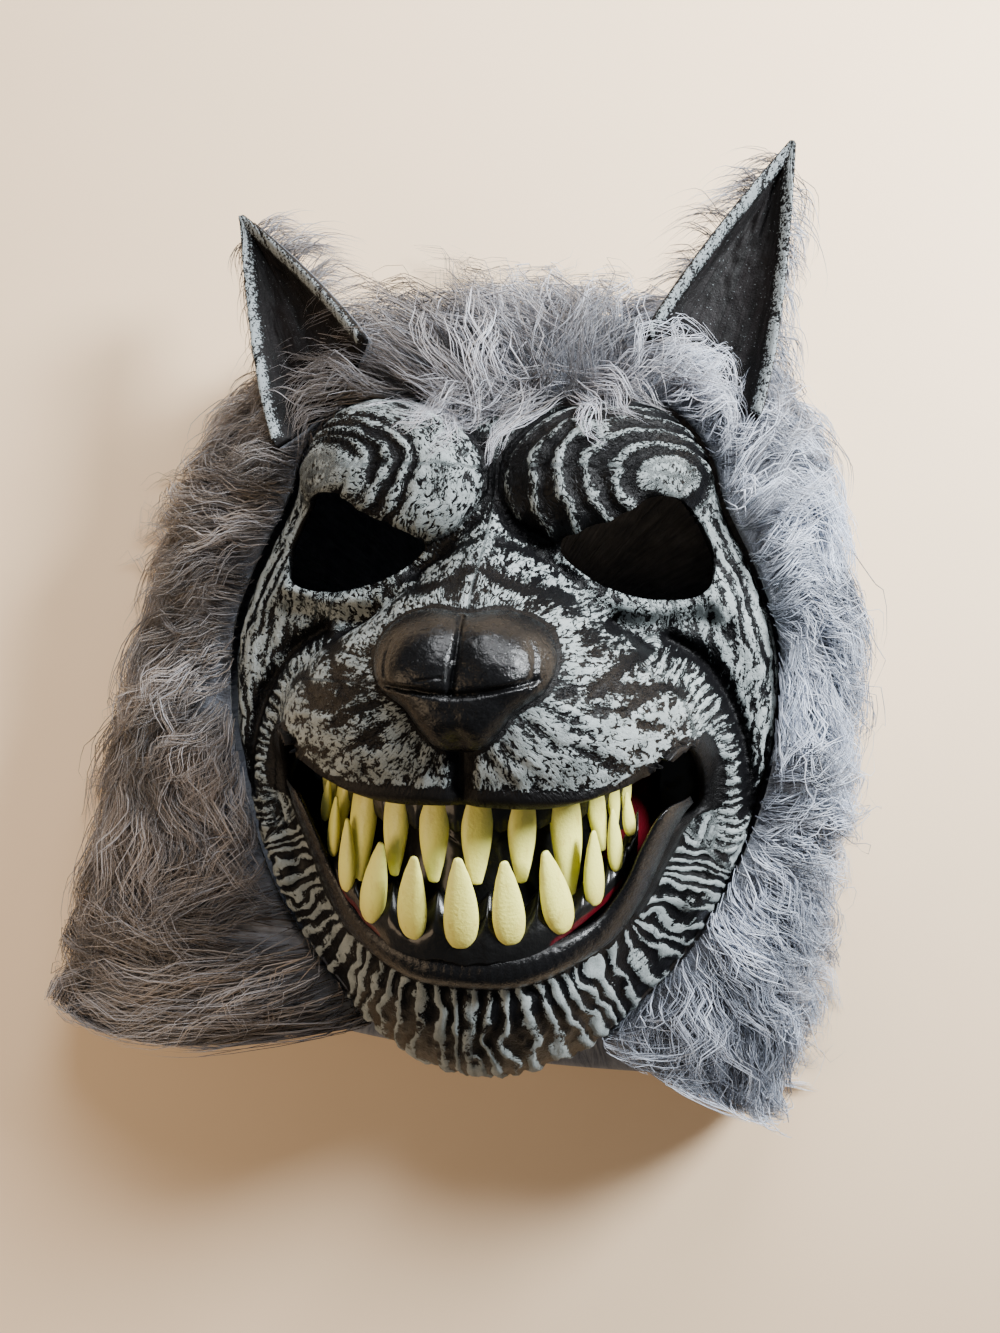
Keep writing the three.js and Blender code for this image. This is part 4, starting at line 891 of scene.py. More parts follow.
def muzzle_zone(x, y, seed, on_strip):
    """The muzzle and the bridge: pits and bands drawn out in rays from the nose."""
    share_y = y / FACE_HEIGHT
    from_nose, rays = np.hypot(x, y + 6), np.arctan2(y + 6, x) * 34
    on = (smoothstep(0.27, 0.2, share_y) * smoothstep(-0.24, -0.17, share_y)
          * smoothstep(74, 60, np.hypot(x * 0.95, y + 18)) * (1 - on_strip))
    bridge = np.exp(-((x / 42) ** 2) - ((y - 42) / 26) ** 2)
    on = np.maximum(on, bridge)
    pits = smoothstep(0.12, 0.45, bark(rays + seed, from_nose, 2.3, 3))
    bands = bark(rays + seed, from_nose, 4.4, 6)
    return zone(on, rays, from_nose, on * (0.5 * bands - 0.6 * pits),
                on * (0.2 - 0.5 * pits + 0.25 * bands) - 0.16 * bridge)


def bare_places(x, y, fine):
    """Where the moulding is bare and dark, from 0 to 1: the lips' edge, the ring round the mouth's corners,
    the nose's seat and the cleft under it. Gives too the low roll along the lips' edge."""
    across = np.abs(x)
    mouth_angle = np.arctan2(y - MOUTH_CENTRE_Y, x)
    mouth_away = np.hypot(x, y - MOUTH_CENTRE_Y) - MOUTH_RADIUS(mouth_angle)
    lip_band = np.where(across < 45, 4.6 + 2.8 * smoothstep(0, 30, across), 7.4)
    lips = smoothstep(lip_band + 1.4, lip_band - 0.6, mouth_away + 0.8 * fine) * (y > MOUTH_CENTRE_Y - 25)
    nose_away = np.hypot(x, y) - NOSE_RADIUS(np.arctan2(y, x))
    seat = smoothstep(1.6, 0.3, nose_away + 0.8 * fine)
    cleft = bell(x / 2.3) * smoothstep(-22, -30, y) * (y > MOUTH_CENTRE_Y)
    roll = bell((mouth_away - 0.55 * lip_band) / (0.42 * lip_band)) * (y > MOUTH_CENTRE_Y - 20)
    return np.max([lips, seat, cleft], axis=0), roll


def face_relief(x, y, share, settings):
    """The small relief of the moulding in millimetres, its paint from 0 to 1, how dark, pitted and ribbed it
    is, the phase of its ribs in turns, and its grain: places in millimetres across and along the strokes.
    Reliefs and paints of the zones add up, and where zones meet, the strongest sets the grain."""
    seed = np.where(x > 0, 0.0, 31.7)
    wander, fine = rough(x + seed, y, 15, 1), rough(x + seed, y, 5, 2)
    plain = zone(0.12 + 0 * x, x, y, 0.3 * fine + 0.5 * wander, 0.55 + 0.12 * wander)
    brow = brow_zone(x, y, seed, wander, fine, settings.brow_depth / MM)
    strip, band = cheek_zones(x, y, share, wander, fine, settings.cheek_depth / MM)
    jaw, beside_lip = jaw_zone(x, y, strip["on"], settings.jaw_depth / MM)
    muzzle = muzzle_zone(x, y, seed, strip["on"])
    zones = [plain, brow, strip, band, jaw, muzzle]
    relief, paint = (sum(part[key] for part in zones) for key in ("relief", "paint"))
    for fold in [STRIP_GROOVE, LIP_CLEFT] + CREASES:
        away = nearest_on_line(line_of(fold), np.abs(x), y)[0] + 0.8 * fine
        paint = paint - 0.75 * bell(away / (1.1 * fold["half"] * HALF_WIDTH))
    between_brows = bell((x + 1.5) / 6.5) * smoothstep(26, 42, y)
    pitted = 0.9 * muzzle["on"] + 0.85 * brow["on"] + 0.3 * band["on"] + 0.5 * between_brows + 0.4
    pitted = np.clip(pitted, 0, 1) * (1 - 0.8 * jaw["on"])
    bare, roll = bare_places(x, y, fine)
    bare = np.maximum(bare, beside_lip)
    strongest = np.stack([part["on"] for part in zones]).argmax(axis=0), np.arange(len(x))
    grain_x, grain_y, phase, ribs = (np.stack([part[key] for part in zones])[strongest]
                                     for key in ("across", "along", "phase", "ribs"))
    return {"relief": relief * (1 - 0.92 * bare) + 1.3 * roll, "paint": np.clip(paint - 1.6 * bare, -1, 1.5),
            "dark": np.clip(bare, 0, 1), "pitted": pitted * (1 - bare), "phase": phase,
            "ribs": ribs * (1 - bare), "grain": np.column_stack([grain_x + seed, grain_y, 0 * x])}


def cut_holes(x, y, faces):
    """The sheet's faces without those that lie in a hole, and the points of each ragged edge moved to the
    nearest places of the hole's outline."""
    holes = [((0, MOUTH_CENTRE_Y), MOUTH_LOOP, MOUTH_RADIUS, 1), (EYE_CENTRE, EYE_LOOP, EYE_RADIUS, 1),
             (EYE_CENTRE, EYE_LOOP, EYE_RADIUS, -1)]
    x, y = x.copy(), y.copy()
    for (centre_x, centre_y), loop, radius_at, side in holes:
        away_x, away_y = side * x - centre_x, y - centre_y
        angle, away = np.arctan2(away_y, away_x), np.hypot(away_x, away_y)
        outline = radius_at(angle)
        middle = (away - outline)[faces].mean(axis=1)
        removed = faces[middle < 0]
        faces = faces[middle >= 0]
        edge = np.intersect1d(removed.ravel(), faces.ravel())
        dense = np.column_stack([np.interp(np.linspace(0, 1, 2400), np.linspace(0, 1, len(loop) + 1),
                                           np.append(loop[:, k], loop[0, k])) for k in (0, 1)])
        gap = np.hypot(side * x[edge][:, None] - dense[None, :, 0], y[edge][:, None] - dense[None, :, 1])
        nearest = dense[gap.argmin(axis=1)]
        x[edge], y[edge] = side * nearest[:, 0], nearest[:, 1]
    return x, y, faces


def build_face(settings):
    """The moulded shell: the smooth front with its small relief pushed out along the smooth front's
    normals, and the same sheet a wall's thickness behind it."""
    x, y, share, faces = face_sheet(settings.face_grid)
    x, y, faces = cut_holes(x, y, faces)
    height = front_height(x, y) * edge_turn(share)
    smooth_front = np.column_stack([x, y, height])
    normals = sheet_normals(smooth_front, faces)
    looks = face_relief(x, y, share, settings)
    relief = looks.pop("relief") * smoothstep(1.0, 0.985, share)
    outer = smooth_front + normals * relief[:, None]
    outer[:, 2] = np.maximum(outer[:, 2], 0)
    inner = smooth_front - normals * (settings.wall / MM)
    inner[:, 2] = np.maximum(inner[:, 2], 0)
    outer, faces, inner, *values = tidy(outer, faces, inner, *looks.values())
    points, faces = thicken(outer, inner, faces)
    inside = {"paint": -1, "dark": 0.5}
    looks = {key: np.concatenate([value, inside.get(key, 0) + 0 * value])
             for key, value in zip(looks, values)}
    return make_mesh("face_shell_painted", on_mask(points), faces,
                     painted_finish("Dry-brushed moulding", settings), looks)


# How far each mark of the nose pad stands out or sinks in, in millimetres.
NOSE_MARKS = {"lobes": 1.4, "seam": -2.6, "crease": -2.2, "side crease": -0.8, "small crease": -0.6}


def build_nose(settings):
    """The nose pad: a dome over its outline, parted by a seam down its middle and a crease under both
    lobes, with a shallow crease near each side and small dents."""
    share, angle, faces = square_disc(120)
    share = np.sin(share * math.pi / 2) ** 0.9
    radius = share * NOSE_RADIUS(angle)
    x, y = radius * np.cos(angle), radius * np.sin(angle)
    across = np.abs(x)
    crease_y = -8.8 + np.where(x > 0, 4.6, 2.0) * (across / 22) ** 1.6 + 0.4 * rough(x, y, 6, 1)
    seam_x = x + 0.9 - 0.5 * np.sin(y / 5)
    marks = {
        "seam": bell(seam_x / 1.0) * smoothstep(-10, -8, y),
        "crease": bell((y - crease_y) / 0.95) * smoothstep(26, 20, across),
        "side crease": (bell((across - 22.5 + 0.03 * y * y) / 0.9) * smoothstep(-9, -5, y)
                        * smoothstep(10, 5, y)),
        "lobes": np.exp(-(((across - 12.5) / 9.5) ** 4) - (((y - 2.5) / 10) ** 4)),
        "small crease": bell((y - 0.2 * x + 3) / 0.5) * (x < -4) * (x > -12),
    }
    dome = NOSE_RISE * np.maximum(1 - share**3.4, 0) ** 0.55
    dents = 0.22 * rough(x, y, 2.4, 2) + 0.35 * rough(x, y, 7, 3)
    top = dome
    for key, rise in NOSE_MARKS.items():
        top = top + rise * marks[key]
    top = top + dents
    top = np.maximum(top, 0) * smoothstep(1.0, 0.9, share) + dome * (1 - smoothstep(1.0, 0.9, share))
    base = face_height(x, y)
    outer = np.column_stack([x, y, base + PAD_STAND + top])
    inner = np.column_stack([x, y, base - PAD_SINK])
    finish = gloss_finish("Gloss black paint", settings.gloss, 0.3, 1.7, 0.34)
    return make_wall("nose_pad", outer, inner, faces, finish, on_face=True)


def build_lower_lip(settings):
    """The lower lip: a half-round roll carried along the jaw's edge of the mouth, with fine creases across
    it."""
    x, y, width = (np.array(LOWER_LIP[key]) * scale for key, scale in
                   (("x", HALF_WIDTH), ("y", FACE_HEIGHT), ("width", 1)))
    half = np.column_stack([x, y, width])
    line = smooth_line(np.vstack([half[:0:-1] * [-1, 1, 1], half]), steps=18)
    step = np.concatenate(([0], np.cumsum(np.linalg.norm(np.diff(line[:, :2], axis=0), axis=1))))
    u = np.linspace(0, 1, 240)
    line = np.column_stack([np.interp(u, step / step[-1], line[:, k]) for k in range(3)])
    way = np.gradient(line[:, :2], axis=0)
    way /= np.linalg.norm(way, axis=1, keepdims=True)
    v = 0.5 - 0.5 * np.cos(np.linspace(0, math.pi, 22))
    ends = (smoothstep(0, 0.05, u) * smoothstep(0, 0.05, 1 - u))[:, None]
    width = line[:, 2:3]
    reach = (v[None] - 0.5) * LIP_WIDTH * width * (0.45 + 0.55 * ends)
    px, py = line[:, 0:1] - way[:, 1:2] * reach, line[:, 1:2] + way[:, 0:1] * reach
    roll = np.sqrt(np.maximum(1 - (2 * v[None] - 1) ** 2, 0)) * LIP_RISE * width * (0.4 + 0.6 * ends)
    length = step[-1]
    creases = ridge(u[:, None] * length / 3.1 + 0.9 * rough(px, py, 9, 2)) - 0.6
    lumps = (0.28 * creases + 0.5 * rough(px, py, 6, 4)) * np.sin(math.pi * v[None])
    base = front_height(px, py)
    top = np.stack([px, py, base + PAD_STAND + roll + lumps], axis=-1)
    low = np.stack([px, py, base - PAD_SINK + 0 * roll], axis=-1)
    finish = gloss_finish("Gloss black lip", settings.gloss, 0.3, 1.5, 0.3)
    return make_wall("lower_lip_roll", top, low, grid_faces(len(u), len(v)), finish, on_face=True)


# The mouth

def widest_mouth(angle):
    """The mouth's radius taken at its largest over a few degrees."""
    turns = np.array([-9, -6, -3, 0, 3, 6, 9])
    return np.max([MOUTH_RADIUS(angle + math.radians(k)) - 0.25 * abs(k) for k in turns], axis=0)


def build_lining(settings):
    """The dark tray behind the teeth: it follows the arch inside the mouth and rises to seat behind the
    shell's wall. Red paint shows beside the lower gum and at the corners."""
    share, angle, faces = square_disc(96)
    radius = share * (widest_mouth(angle) + MOUTH_FLANGE)
    x, y = radius * np.cos(angle), MOUTH_CENTRE_Y + radius * np.sin(angle)
    beyond = radius - widest_mouth(angle)
    deep = arch_height(x) - 0.15 * FACE_DEPTH
    step = 1.0
    slope = np.hypot(front_height(x + step, y) - front_height(x - step, y),
                     front_height(x, y + step) - front_height(x, y - step)) / (2 * step)
    seat = face_height(x, y) - settings.wall / MM * np.minimum(np.hypot(1, slope), 3) - GAP
    inside = 1 - smoothstep(0.12 * MOUTH_FLANGE, 0.75 * MOUTH_FLANGE, beyond)
    top = np.minimum(seat + (deep - seat) * inside, seat) + 0.5 * rough(x, y, 9, 1) * inside
    outer = np.column_stack([x, y, top])
    inner = np.column_stack([x, y, top - 2.2 * MOUTH_LINING_WALL])
    inset = radius / np.maximum(MOUTH_RADIUS(angle), 1)
    red = smoothstep(0.6, 0.76, inset) * (y < MOUTH_CENTRE_Y + 8)
    corner = smoothstep(50, 56, np.abs(x)) * smoothstep(66, 60, np.abs(x)) * (y < MOUTH_CENTRE_Y + 34)
    red = np.maximum(red, 0.75 * corner)
    return make_wall("mouth_lining_painted", outer, inner, faces, lining_finish("Mouth lining", settings),
                     {"red": np.concatenate([red, 0 * red])}, on_face=True)


def tooth_rows():
    """Both rows of teeth: for each its name, its teeth from left to right, and how the row stands."""
    rows = []
    for name, half, shift, forward, lean in (
            ("upper", UPPER_TEETH, UPPER_ROW_SHIFT, 0, 0),
            ("lower", LOWER_TEETH, LOWER_ROW_SHIFT, TOOTH_ROWS_APART, LOWER_TOOTH_LEAN)):
        teeth = [(row, -1) for row in reversed(half) if row[0] > 0] + [(row, 1) for row in half]
        rows.append((name, teeth, shift, forward, lean))
    return rows


def build_teeth(name, teeth, shift, forward, lean, finish):
    """A row of teeth: each a flattened teardrop turned about its own line, with a faint seam down its
    front and a slight bend of its own."""
    rng = np.random.default_rng(len(name) + len(teeth))
    points, faces, alongs = [], [], []
    along = 0.5 - 0.5 * np.cos(np.linspace(0, math.pi, 30))
    turn = np.arange(24) * 2 * math.pi / 24
    half_at = np.clip(column(TOOTH_PROFILES[name], "along", along, "half"), 0, None)
    half_at[0] = half_at[-1] = 0.001
    for (root, tip, root_y, tip_y, width), side in teeth:
        def place(share, share_y, out):
            x = side * share * TOOTH_ARCH_HALF
            return np.array([x + shift, share_y * FACE_HEIGHT, float(arch_height(x)) + out])
        start = place(root, root_y, forward - lean * lean_share(root))
        end = place(tip, tip_y, forward)
        length = np.linalg.norm(end - start)
        down = (end - start) / length
        wide = np.array([1, 0, -2 * TOOTH_ARCH_DROP * side * root / TOOTH_ARCH_HALF])
        wide -= wide @ down * down
        wide /= np.linalg.norm(wide)
        front = np.cross(wide, down)
        front *= np.sign(front[2])
        half = width * HALF_WIDTH / 2
        bend = rng.uniform(-0.5, 0.5)
        seam = rng.uniform(-0.35, 0.35)
        cos, sin = np.cos(turn)[None], np.sin(turn)[None]
        groove = 1 - 0.07 * bell((cos - seam) / 0.14) * (sin > 0)
        lumps = 1 + 0.02 * np.sin(3 * turn + rng.uniform(0, 6))[None]
        across = cos * half_at[:, None] * half * lumps + bend * np.sin(math.pi * along)[:, None]
        out = sin * half_at[:, None] * half * TOOTH_THICKNESS * groove * lumps
        body = (start + (along * length)[:, None, None] * down + across[..., None] * wide
                + out[..., None] * front)
        ring_faces = grid_faces(len(along), len(turn), wrap=True)
        if np.cross(wide, front) @ down > 0:
            ring_faces = ring_faces[:, ::-1]
        faces.append(ring_faces + sum(len(p) for p in points))
        points.append(body.reshape(-1, 3))
        alongs.append(np.repeat(along, len(turn)))
    made = make_mesh(f"{name}_teeth", on_mask(np.vstack(points)), np.vstack(faces), finish,
                     {"along": 1 - np.concatenate(alongs)})
    nodes = [f"{name}_tooth_{k + 1:02d}" for k in range(len(teeth))]
    finish_piece(made, "tooth_cream", *nodes)


# Each gum: its lower and upper edge as shares of the face's height, in the middle and by how much more at
# the ends, its wall and which row of teeth stands in it.
GUMS = {
    "upper_gum": {"low": (-0.2, 0.035), "high": (-0.137, 0.01), "wall": UPPER_GUM_WALL, "row": 0},
    "lower_gum": {"low": (-0.38, 0.13), "high": (-0.322, 0.13), "wall": LOWER_GUM_WALL, "row": 1},
}


def build_gum(name, settings):
    """A gum: a swelling ridge along the arch, bulging between the teeth and cupped round each root."""
    upper = name == "upper_gum"
    gum = GUMS[name]
    _, teeth, shift, forward, lean = tooth_rows()[gum["row"]]
    wall = gum["wall"]
    u, v = np.meshgrid(np.linspace(0, 1, 220), np.linspace(0, 1, 26), indexing="ij")
    across = 2 * u - 1
    x = across * TOOTH_ARCH_HALF * 1.04 + shift
    low, high = ((middle + more * across**4) * FACE_HEIGHT for middle, more in (gum["low"], gum["high"]))
    cup = np.zeros_like(x)
    for (root, _, _, _, width), side in teeth:
        cup = np.maximum(cup, bell((x - side * root * TOOTH_ARCH_HALF - shift)
                                        / (0.62 * width * HALF_WIDTH)))
    if upper:
        low = low - 4.5 * (1 - cup)
    else:
        low = low + 5.5 * bell((np.abs(across) - 0.66) / 0.2) + 1.5 * rough(x, 0 * x, 9, 3)
        high = high + 11.0 * (1 - cup) * (1 - across**4)
    y = low + v * (high - low)
    share = np.abs(x - shift) / TOOTH_ARCH_HALF
    middle = arch_height(x - shift) + forward - 0.22 * wall - lean * lean_share(share)
    if not upper:
        middle = middle - 5.0 * np.clip(v * 1.2 - 0.55, 0, 1)
    swell = wall / 2 * (0.45 + 0.55 * np.sin(math.pi * v)) * (0.78 + 0.3 * (1 - cup))
    lumps = 0.35 * rough(x, y, 6, 3)
    outer = np.stack([x, y, middle + swell + lumps], axis=-1)
    inner = np.stack([x, y, middle - swell * 0.8], axis=-1)
    red = 0 * x if upper else (smoothstep(0.3, 0.12, v) * smoothstep(0.42, 0.58, np.abs(across))
                               * smoothstep(0.98, 0.85, np.abs(across)))
    finish = lining_finish(f"{name} paint", settings)
    made = make_wall(f"{name}_ridge", outer, inner, grid_faces(*u.shape), finish,
                     {"red": np.tile(red.ravel(), 2)}, on_face=True)
    finish_piece(made, "gum_black", name)


# The ears

def crown_height():
    """The height of the moulding's edge at the crown."""
    return FACE_SEAT_HEIGHT + float(hood_station(np.array(0.5), "lap")) * FACE_DEPTH


def ear_matrix(ear):
    """The ear's own directions: the droop about X, then the twist about Y, then the spin about Z."""
    return turned(-ear["droop"], ear["twist"] * ear["side"], -ear["spin"] * ear["side"])


def ear_half(v):
    """Half of the ear's width at a share of its length, which narrows by a power of it to a round tip."""
    return EAR_BASE / 2 * (1 - v**1.35) + EAR_TIP


def ear_place(ear, u, v, below=0.0, grown=0.0):
    """A place on the ear's leaf: u from the inner to the outer edge, v from the base to the tip. The leaf
    is cupped across its middle."""
    across = 2 * u - 1
    half = ear_half(v) + grown
    middle = EAR_LEAN * v**1.1
    cup = -EAR_CUP * (1 - np.abs(across) ** 2.2) * (1 - v) ** 0.6 * (0.6 + 0.4 * v)
    up = -0.1 * EAR_LENGTH * (1 - v) + v * EAR_LENGTH
    local = np.stack(np.broadcast_arrays(ear["side"] * (middle + across * half), up, cup - below), axis=-1)
    origin = np.array([ear["x"] * HOOD_WIDTH, ear["y"] * HOOD_LENGTH, ear["z"] * crown_height()])
    return local @ ear_matrix(ear).T + origin


def build_ear(name, finish):
    """The moulded ear: a cupped leaf furrowed towards its tip, whose edge is a rounded cord with slanting
    grooves."""
    ear = EARS[name]
    rows, columns = 90, 70
    v, u = np.meshgrid(np.linspace(0, 1, rows), np.linspace(0, 1, columns), indexing="ij")
    across = 2 * u - 1
    to_edge = ear_half(v) * (1 - np.abs(across))
    cord = np.sqrt(np.clip(1 - ((to_edge - EAR_CORD) / EAR_CORD) ** 2, 0, 1)) * (v > 0.02)
    edge_along = v * EAR_LENGTH * 1.1 + 3.0 * np.sign(across)
    grooves = 0.35 * ridge(edge_along / 3.0 + to_edge / 6 + 0.6 * rough(u * 40, v * 80, 7, 2))
    grooves = grooves + 0.65 * (0.5 + bark(edge_along + 40 * u, to_edge, 1.8, 3))
    furrows = bark(u * 30 + 9 * (name == "left"), v * 70, 4.5, 3) + 0.4 * rough(u * 40, v * 80, 4, 5)
    inside = smoothstep(4.5, 8, to_edge)
    lift = cord * (2.1 + 0.7 * grooves) + 1.5 * furrows * inside - 1.6 * inside
    outer = ear_place(ear, u, v, -lift)
    inner = ear_place(ear, u, v, EAR_WALL)
    faces = facing_up(outer, grid_faces(rows, columns))
    paint = (cord * (0.42 + 0.7 * (grooves - 0.4))).ravel()
    made = make_wall(f"{name}_ear_leaf", outer, inner, faces, finish,
                     {"paint": np.concatenate([paint, 0 * paint])}, np.column_stack([u.ravel(), v.ravel()]))
    finish_piece(made, "ear_moulding", f"{name}_ear")


def build_ear_back(name, finish):
    """The cloth on the ear's back, a lumpy sheet behind the leaf."""
    ear = EARS[name]
    v, u = np.meshgrid(np.linspace(0, 0.97, 50), np.linspace(0, 1, 40), indexing="ij")
    lumps = 0.8 * rough(u * 50, v * 80, 9, 2)
    top = ear_place(ear, u, v, EAR_WALL + GAP, GAP)
    low = ear_place(ear, u, v, EAR_WALL + GAP + EAR_FUR_BACKING + lumps, GAP)
    made = make_wall(f"{name}_ear_cloth", top, low, facing_up(top, grid_faces(*u.shape)), finish,
                     uv=np.column_stack([u.ravel(), v.ravel()]))
    finish_piece(made, "grey_pile", f"{name}_ear_fur")


# The pile

def hair_tubes(paths, width):
    """Closed three-sided tubes along many paths at once. Paths have the shape (hairs, points, 3). Each
    tube tapers to its tip, where its three sides meet."""
    hairs, count = paths.shape[:2]
    way = np.gradient(paths, axis=1)
    way /= np.maximum(np.linalg.norm(way, axis=2, keepdims=True), 1e-9)
    side = np.cross(way, np.array([0.13, 0.21, 0.97]))
    side /= np.maximum(np.linalg.norm(side, axis=2, keepdims=True), 1e-9)
    up = np.cross(side, way)
    s = np.linspace(0, 1, count)
    taper = (0.75 + 0.45 * np.sin(math.pi * np.minimum(s * 1.3, 1))) * (1 - s**2.2) + 0.04
    radius = width[:, None, None] * taper[None, :, None]
    turn = np.arange(3) * 2 * math.pi / 3
    cos, sin = np.cos(turn)[None, None, :, None], np.sin(turn)[None, None, :, None]
    rings = paths[:, :-1, None] + radius[:, :-1, None] * (cos * side[:, :-1, None] + sin * up[:, :-1, None])
    points = np.concatenate([rings.reshape(hairs, -1, 3), paths[:, -1:]], axis=1)
    body = []
    for k in range(count - 2):
        for j in range(3):
            a, b = 3 * k + j, 3 * k + (j + 1) % 3
            body += [(a, b, b + 3), (a, b + 3, a + 3)]
    last, tip = 3 * (count - 2), 3 * (count - 1)
    body += [(last + j, last + (j + 1) % 3, tip) for j in range(3)] + [(2, 1, 0)]
    per_hair = points.shape[1]
    faces = (np.array(body)[None] + per_hair * np.arange(hairs)[:, None, None]).reshape(-1, 3)
    along = np.concatenate([np.repeat(s[:-1], 3), [1.0]])
    return points.reshape(-1, 3), faces, np.tile(along, hairs), per_hair


def soft_limit(values, low, high, margin):
    """Values held between two limits: within the margin of a limit they bend towards it and never pass."""
    over, under = values - (high - margin), (low + margin) - values
    values = np.where(over > 0, high - margin * np.exp(-np.maximum(over, 0) / margin), values)
    return np.where(under > 0, low + margin * np.exp(-np.maximum(under, 0) / margin), values)


def near_ears(places):
    """How near a place is to the middle of an ear's base, from 0 far off to 1 at it."""
    away = [np.hypot(places[..., 0] - ear["x"] * HOOD_WIDTH, places[..., 1] - ear["y"] * HOOD_LENGTH)
            for ear in EARS.values()]
    return bell(np.min(away, axis=0) / 30)


# The smooth noises over the hood that neighbouring locks share: how strong each is, its size in
# millimetres and its layer. They turn a lock, bend it, start its wave and lift it.
LOCK_NOISES = {"turn": (1.25, 44, 3), "bend": (1.2, 30, 6), "start": (1.4, 60, 4), "lift": (0.9, 22, 5)}
LOOSE_SHARE = 0.07


def lock_noise(name, u, t):
    """One of the shared noises at the locks' roots."""
    strength, size, layer = LOCK_NOISES[name]
    return strength * rough(u * HOOD_ROUND, t * HOOD_DOWN, size, layer, 2)


def lock_paths(rng, u, t, coat, lean=0.0):
    """The hairs of many locks on the hood, of one coat: how many hairs a lock has, their points, length,
    wave, spread and lift.

    A lock's path runs over the hood from its root, down the slope and towards the neck. Smooth noises turn
    it, bend it and start its wave, so that neighbours swirl and wave together. Locks near an ear are short.
    A lock's hairs start spread round the root, draw together towards the tip and stand off the cloth in the
    middle."""
    locks, per_lock, count = len(u), coat["hairs"], coat["points"]
    s = np.linspace(0, 1, count)[None, :]
    crown = smoothstep(0.2, 0.06, np.abs(u - 0.5))
    short = 1 - 0.6 * near_ears(hood_place(u, np.maximum(t, 0)))[:, None]
    length = coat["length"] * rng.uniform(0.65, 1.3, locks)[:, None] * short
    neckward = np.clip((u - 0.5) * 14, -1, 1) * (0.75 + 0.4 * crown)
    angle = neckward + lock_noise("turn", u, t) + rng.normal(0, 0.14 + 0.22 * crown, locks) + lean
    bend = (lock_noise("bend", u, t)[:, None] + rng.normal(0, 0.25, (locks, 1))) * s
    around, downward = np.sin(angle[:, None] + bend), np.cos(angle[:, None] + bend)
    step = length / (count - 1)
    run_u = np.cumsum(np.pad(around[:, 1:], ((0, 0), (1, 0))), axis=1) * step
    run_t = np.cumsum(np.pad(downward[:, 1:], ((0, 0), (1, 0))), axis=1) * step
    turns = length / coat["wave_length"] * rng.uniform(0.9, 1.15, (locks, 1))
    start = lock_noise("start", u, t)[:, None] + rng.normal(0, 0.1, (locks, 1))
    wave = coat["wave"] * rng.uniform(0.6, 1.3, (locks, 1)) * np.sin(
        2 * math.pi * (turns * s + start)) * np.minimum(s * 3, 1)
    run_u, run_t = run_u + wave * downward, run_t - wave * around
    spread = rng.normal(0, coat["spread"], (locks, per_lock, 2, 1))
    narrow = (1 - 0.82 * s**0.9)[None]
    own = rng.uniform(0.82, 1.1, (locks, per_lock, 1))
    ripple = rng.uniform(0, 2 * math.pi, (locks, per_lock, 2, 1))
    fray = 0.4 * np.sin(2 * math.pi * 1.7 * s[None, None] * turns[:, None, None] / 2 + ripple) * s[None, None]
    hair_u = u[:, None, None] + (run_u[:, None] * own + spread[:, :, 0] * narrow + fray[:, :, 0]) / HOOD_ROUND
    hair_t = t[:, None, None] + (run_t[:, None] * own + spread[:, :, 1] * narrow + fray[:, :, 1]) / HOOD_DOWN
    hair_u = np.clip(hair_u, 0.001, 0.999).reshape(-1, count)
    hair_t = soft_limit(hair_t, coat["past_rim"], 9, 0.05).reshape(-1, count)
    at = hood_place(hair_u, np.maximum(hair_t, 0))
    out = hood_normal(hair_u, hair_t)
    # Hairs that lie over the rim go on towards the face.
    inward = np.minimum(hair_t, 0)[..., None] * HOOD_DOWN
    rim_way = at - on_mask(np.array([0, FACE_CENTRE_Y, 0]))
    rim_way[..., 2] = 0
    rim_way /= np.linalg.norm(rim_way, axis=-1, keepdims=True)
    at = at + rim_way * inward
    puffs = 1 + lock_noise("lift", u, t)[:, None]
    stand = coat["lift"] * rng.uniform(0.6, 1.4, (locks, 1)) * (1 + 0.6 * crown[:, None]) * puffs * short
    arch = np.sin(math.pi * np.clip(s * 0.86 + 0.06, 0, 1)) ** 0.7
    off = (stand * arch)[:, None] * rng.uniform(0.55, 1.2, (locks, per_lock, 1))
    loose = rng.random((locks, per_lock, 1)) < LOOSE_SHARE
    loose = loose * rng.uniform(3, 13, (locks, per_lock, 1)) * s[None]
    off = (off + loose + rng.uniform(0, 1.4, (locks, per_lock, 1))).reshape(-1, count)
    return at + (out * 0.7 + np.array([0, 0, 0.3])) * off[..., None]


def lift_over_face(paths):
    """Hairs that reach over the face lie on its surface instead of running into it."""
    flat = (paths - FACE_ORIGIN) @ FACE_MATRIX
    share = face_share(flat[..., 0], flat[..., 1])
    over = share < 1.0
    if over.any():
        x, y = flat[..., 0][over], flat[..., 1][over]
        floor = front_height(x, y) * edge_turn(np.minimum(share[over], 0.999)) + 1.2
        flat[..., 2][over] = np.maximum(flat[..., 2][over], floor)
    return on_mask(flat)


def make_pile(name, paths, rng, settings, finish, tone, warm, thick=1.0):
    """One piece of pile from its hairs' paths."""
    paths = paths.copy()
    low, high = CAD_BOX
    reach = settings.pile_reach / MM
    for axis in (0, 1):
        paths[..., axis] = soft_limit(paths[..., axis], low[axis] - reach, high[axis] + reach, 12)
    paths[..., 2] = np.maximum(paths[..., 2], 0.6)
    width = settings.hair_width / MM / 2 * rng.uniform(0.7, 1.3, len(paths)) * thick
    points, faces, along, per_hair = hair_tubes(paths, width)
    return make_mesh(name, points, faces, finish,
                     {"along": along, "tone": np.repeat(tone, per_hair), "warm": np.repeat(warm, per_hair)})


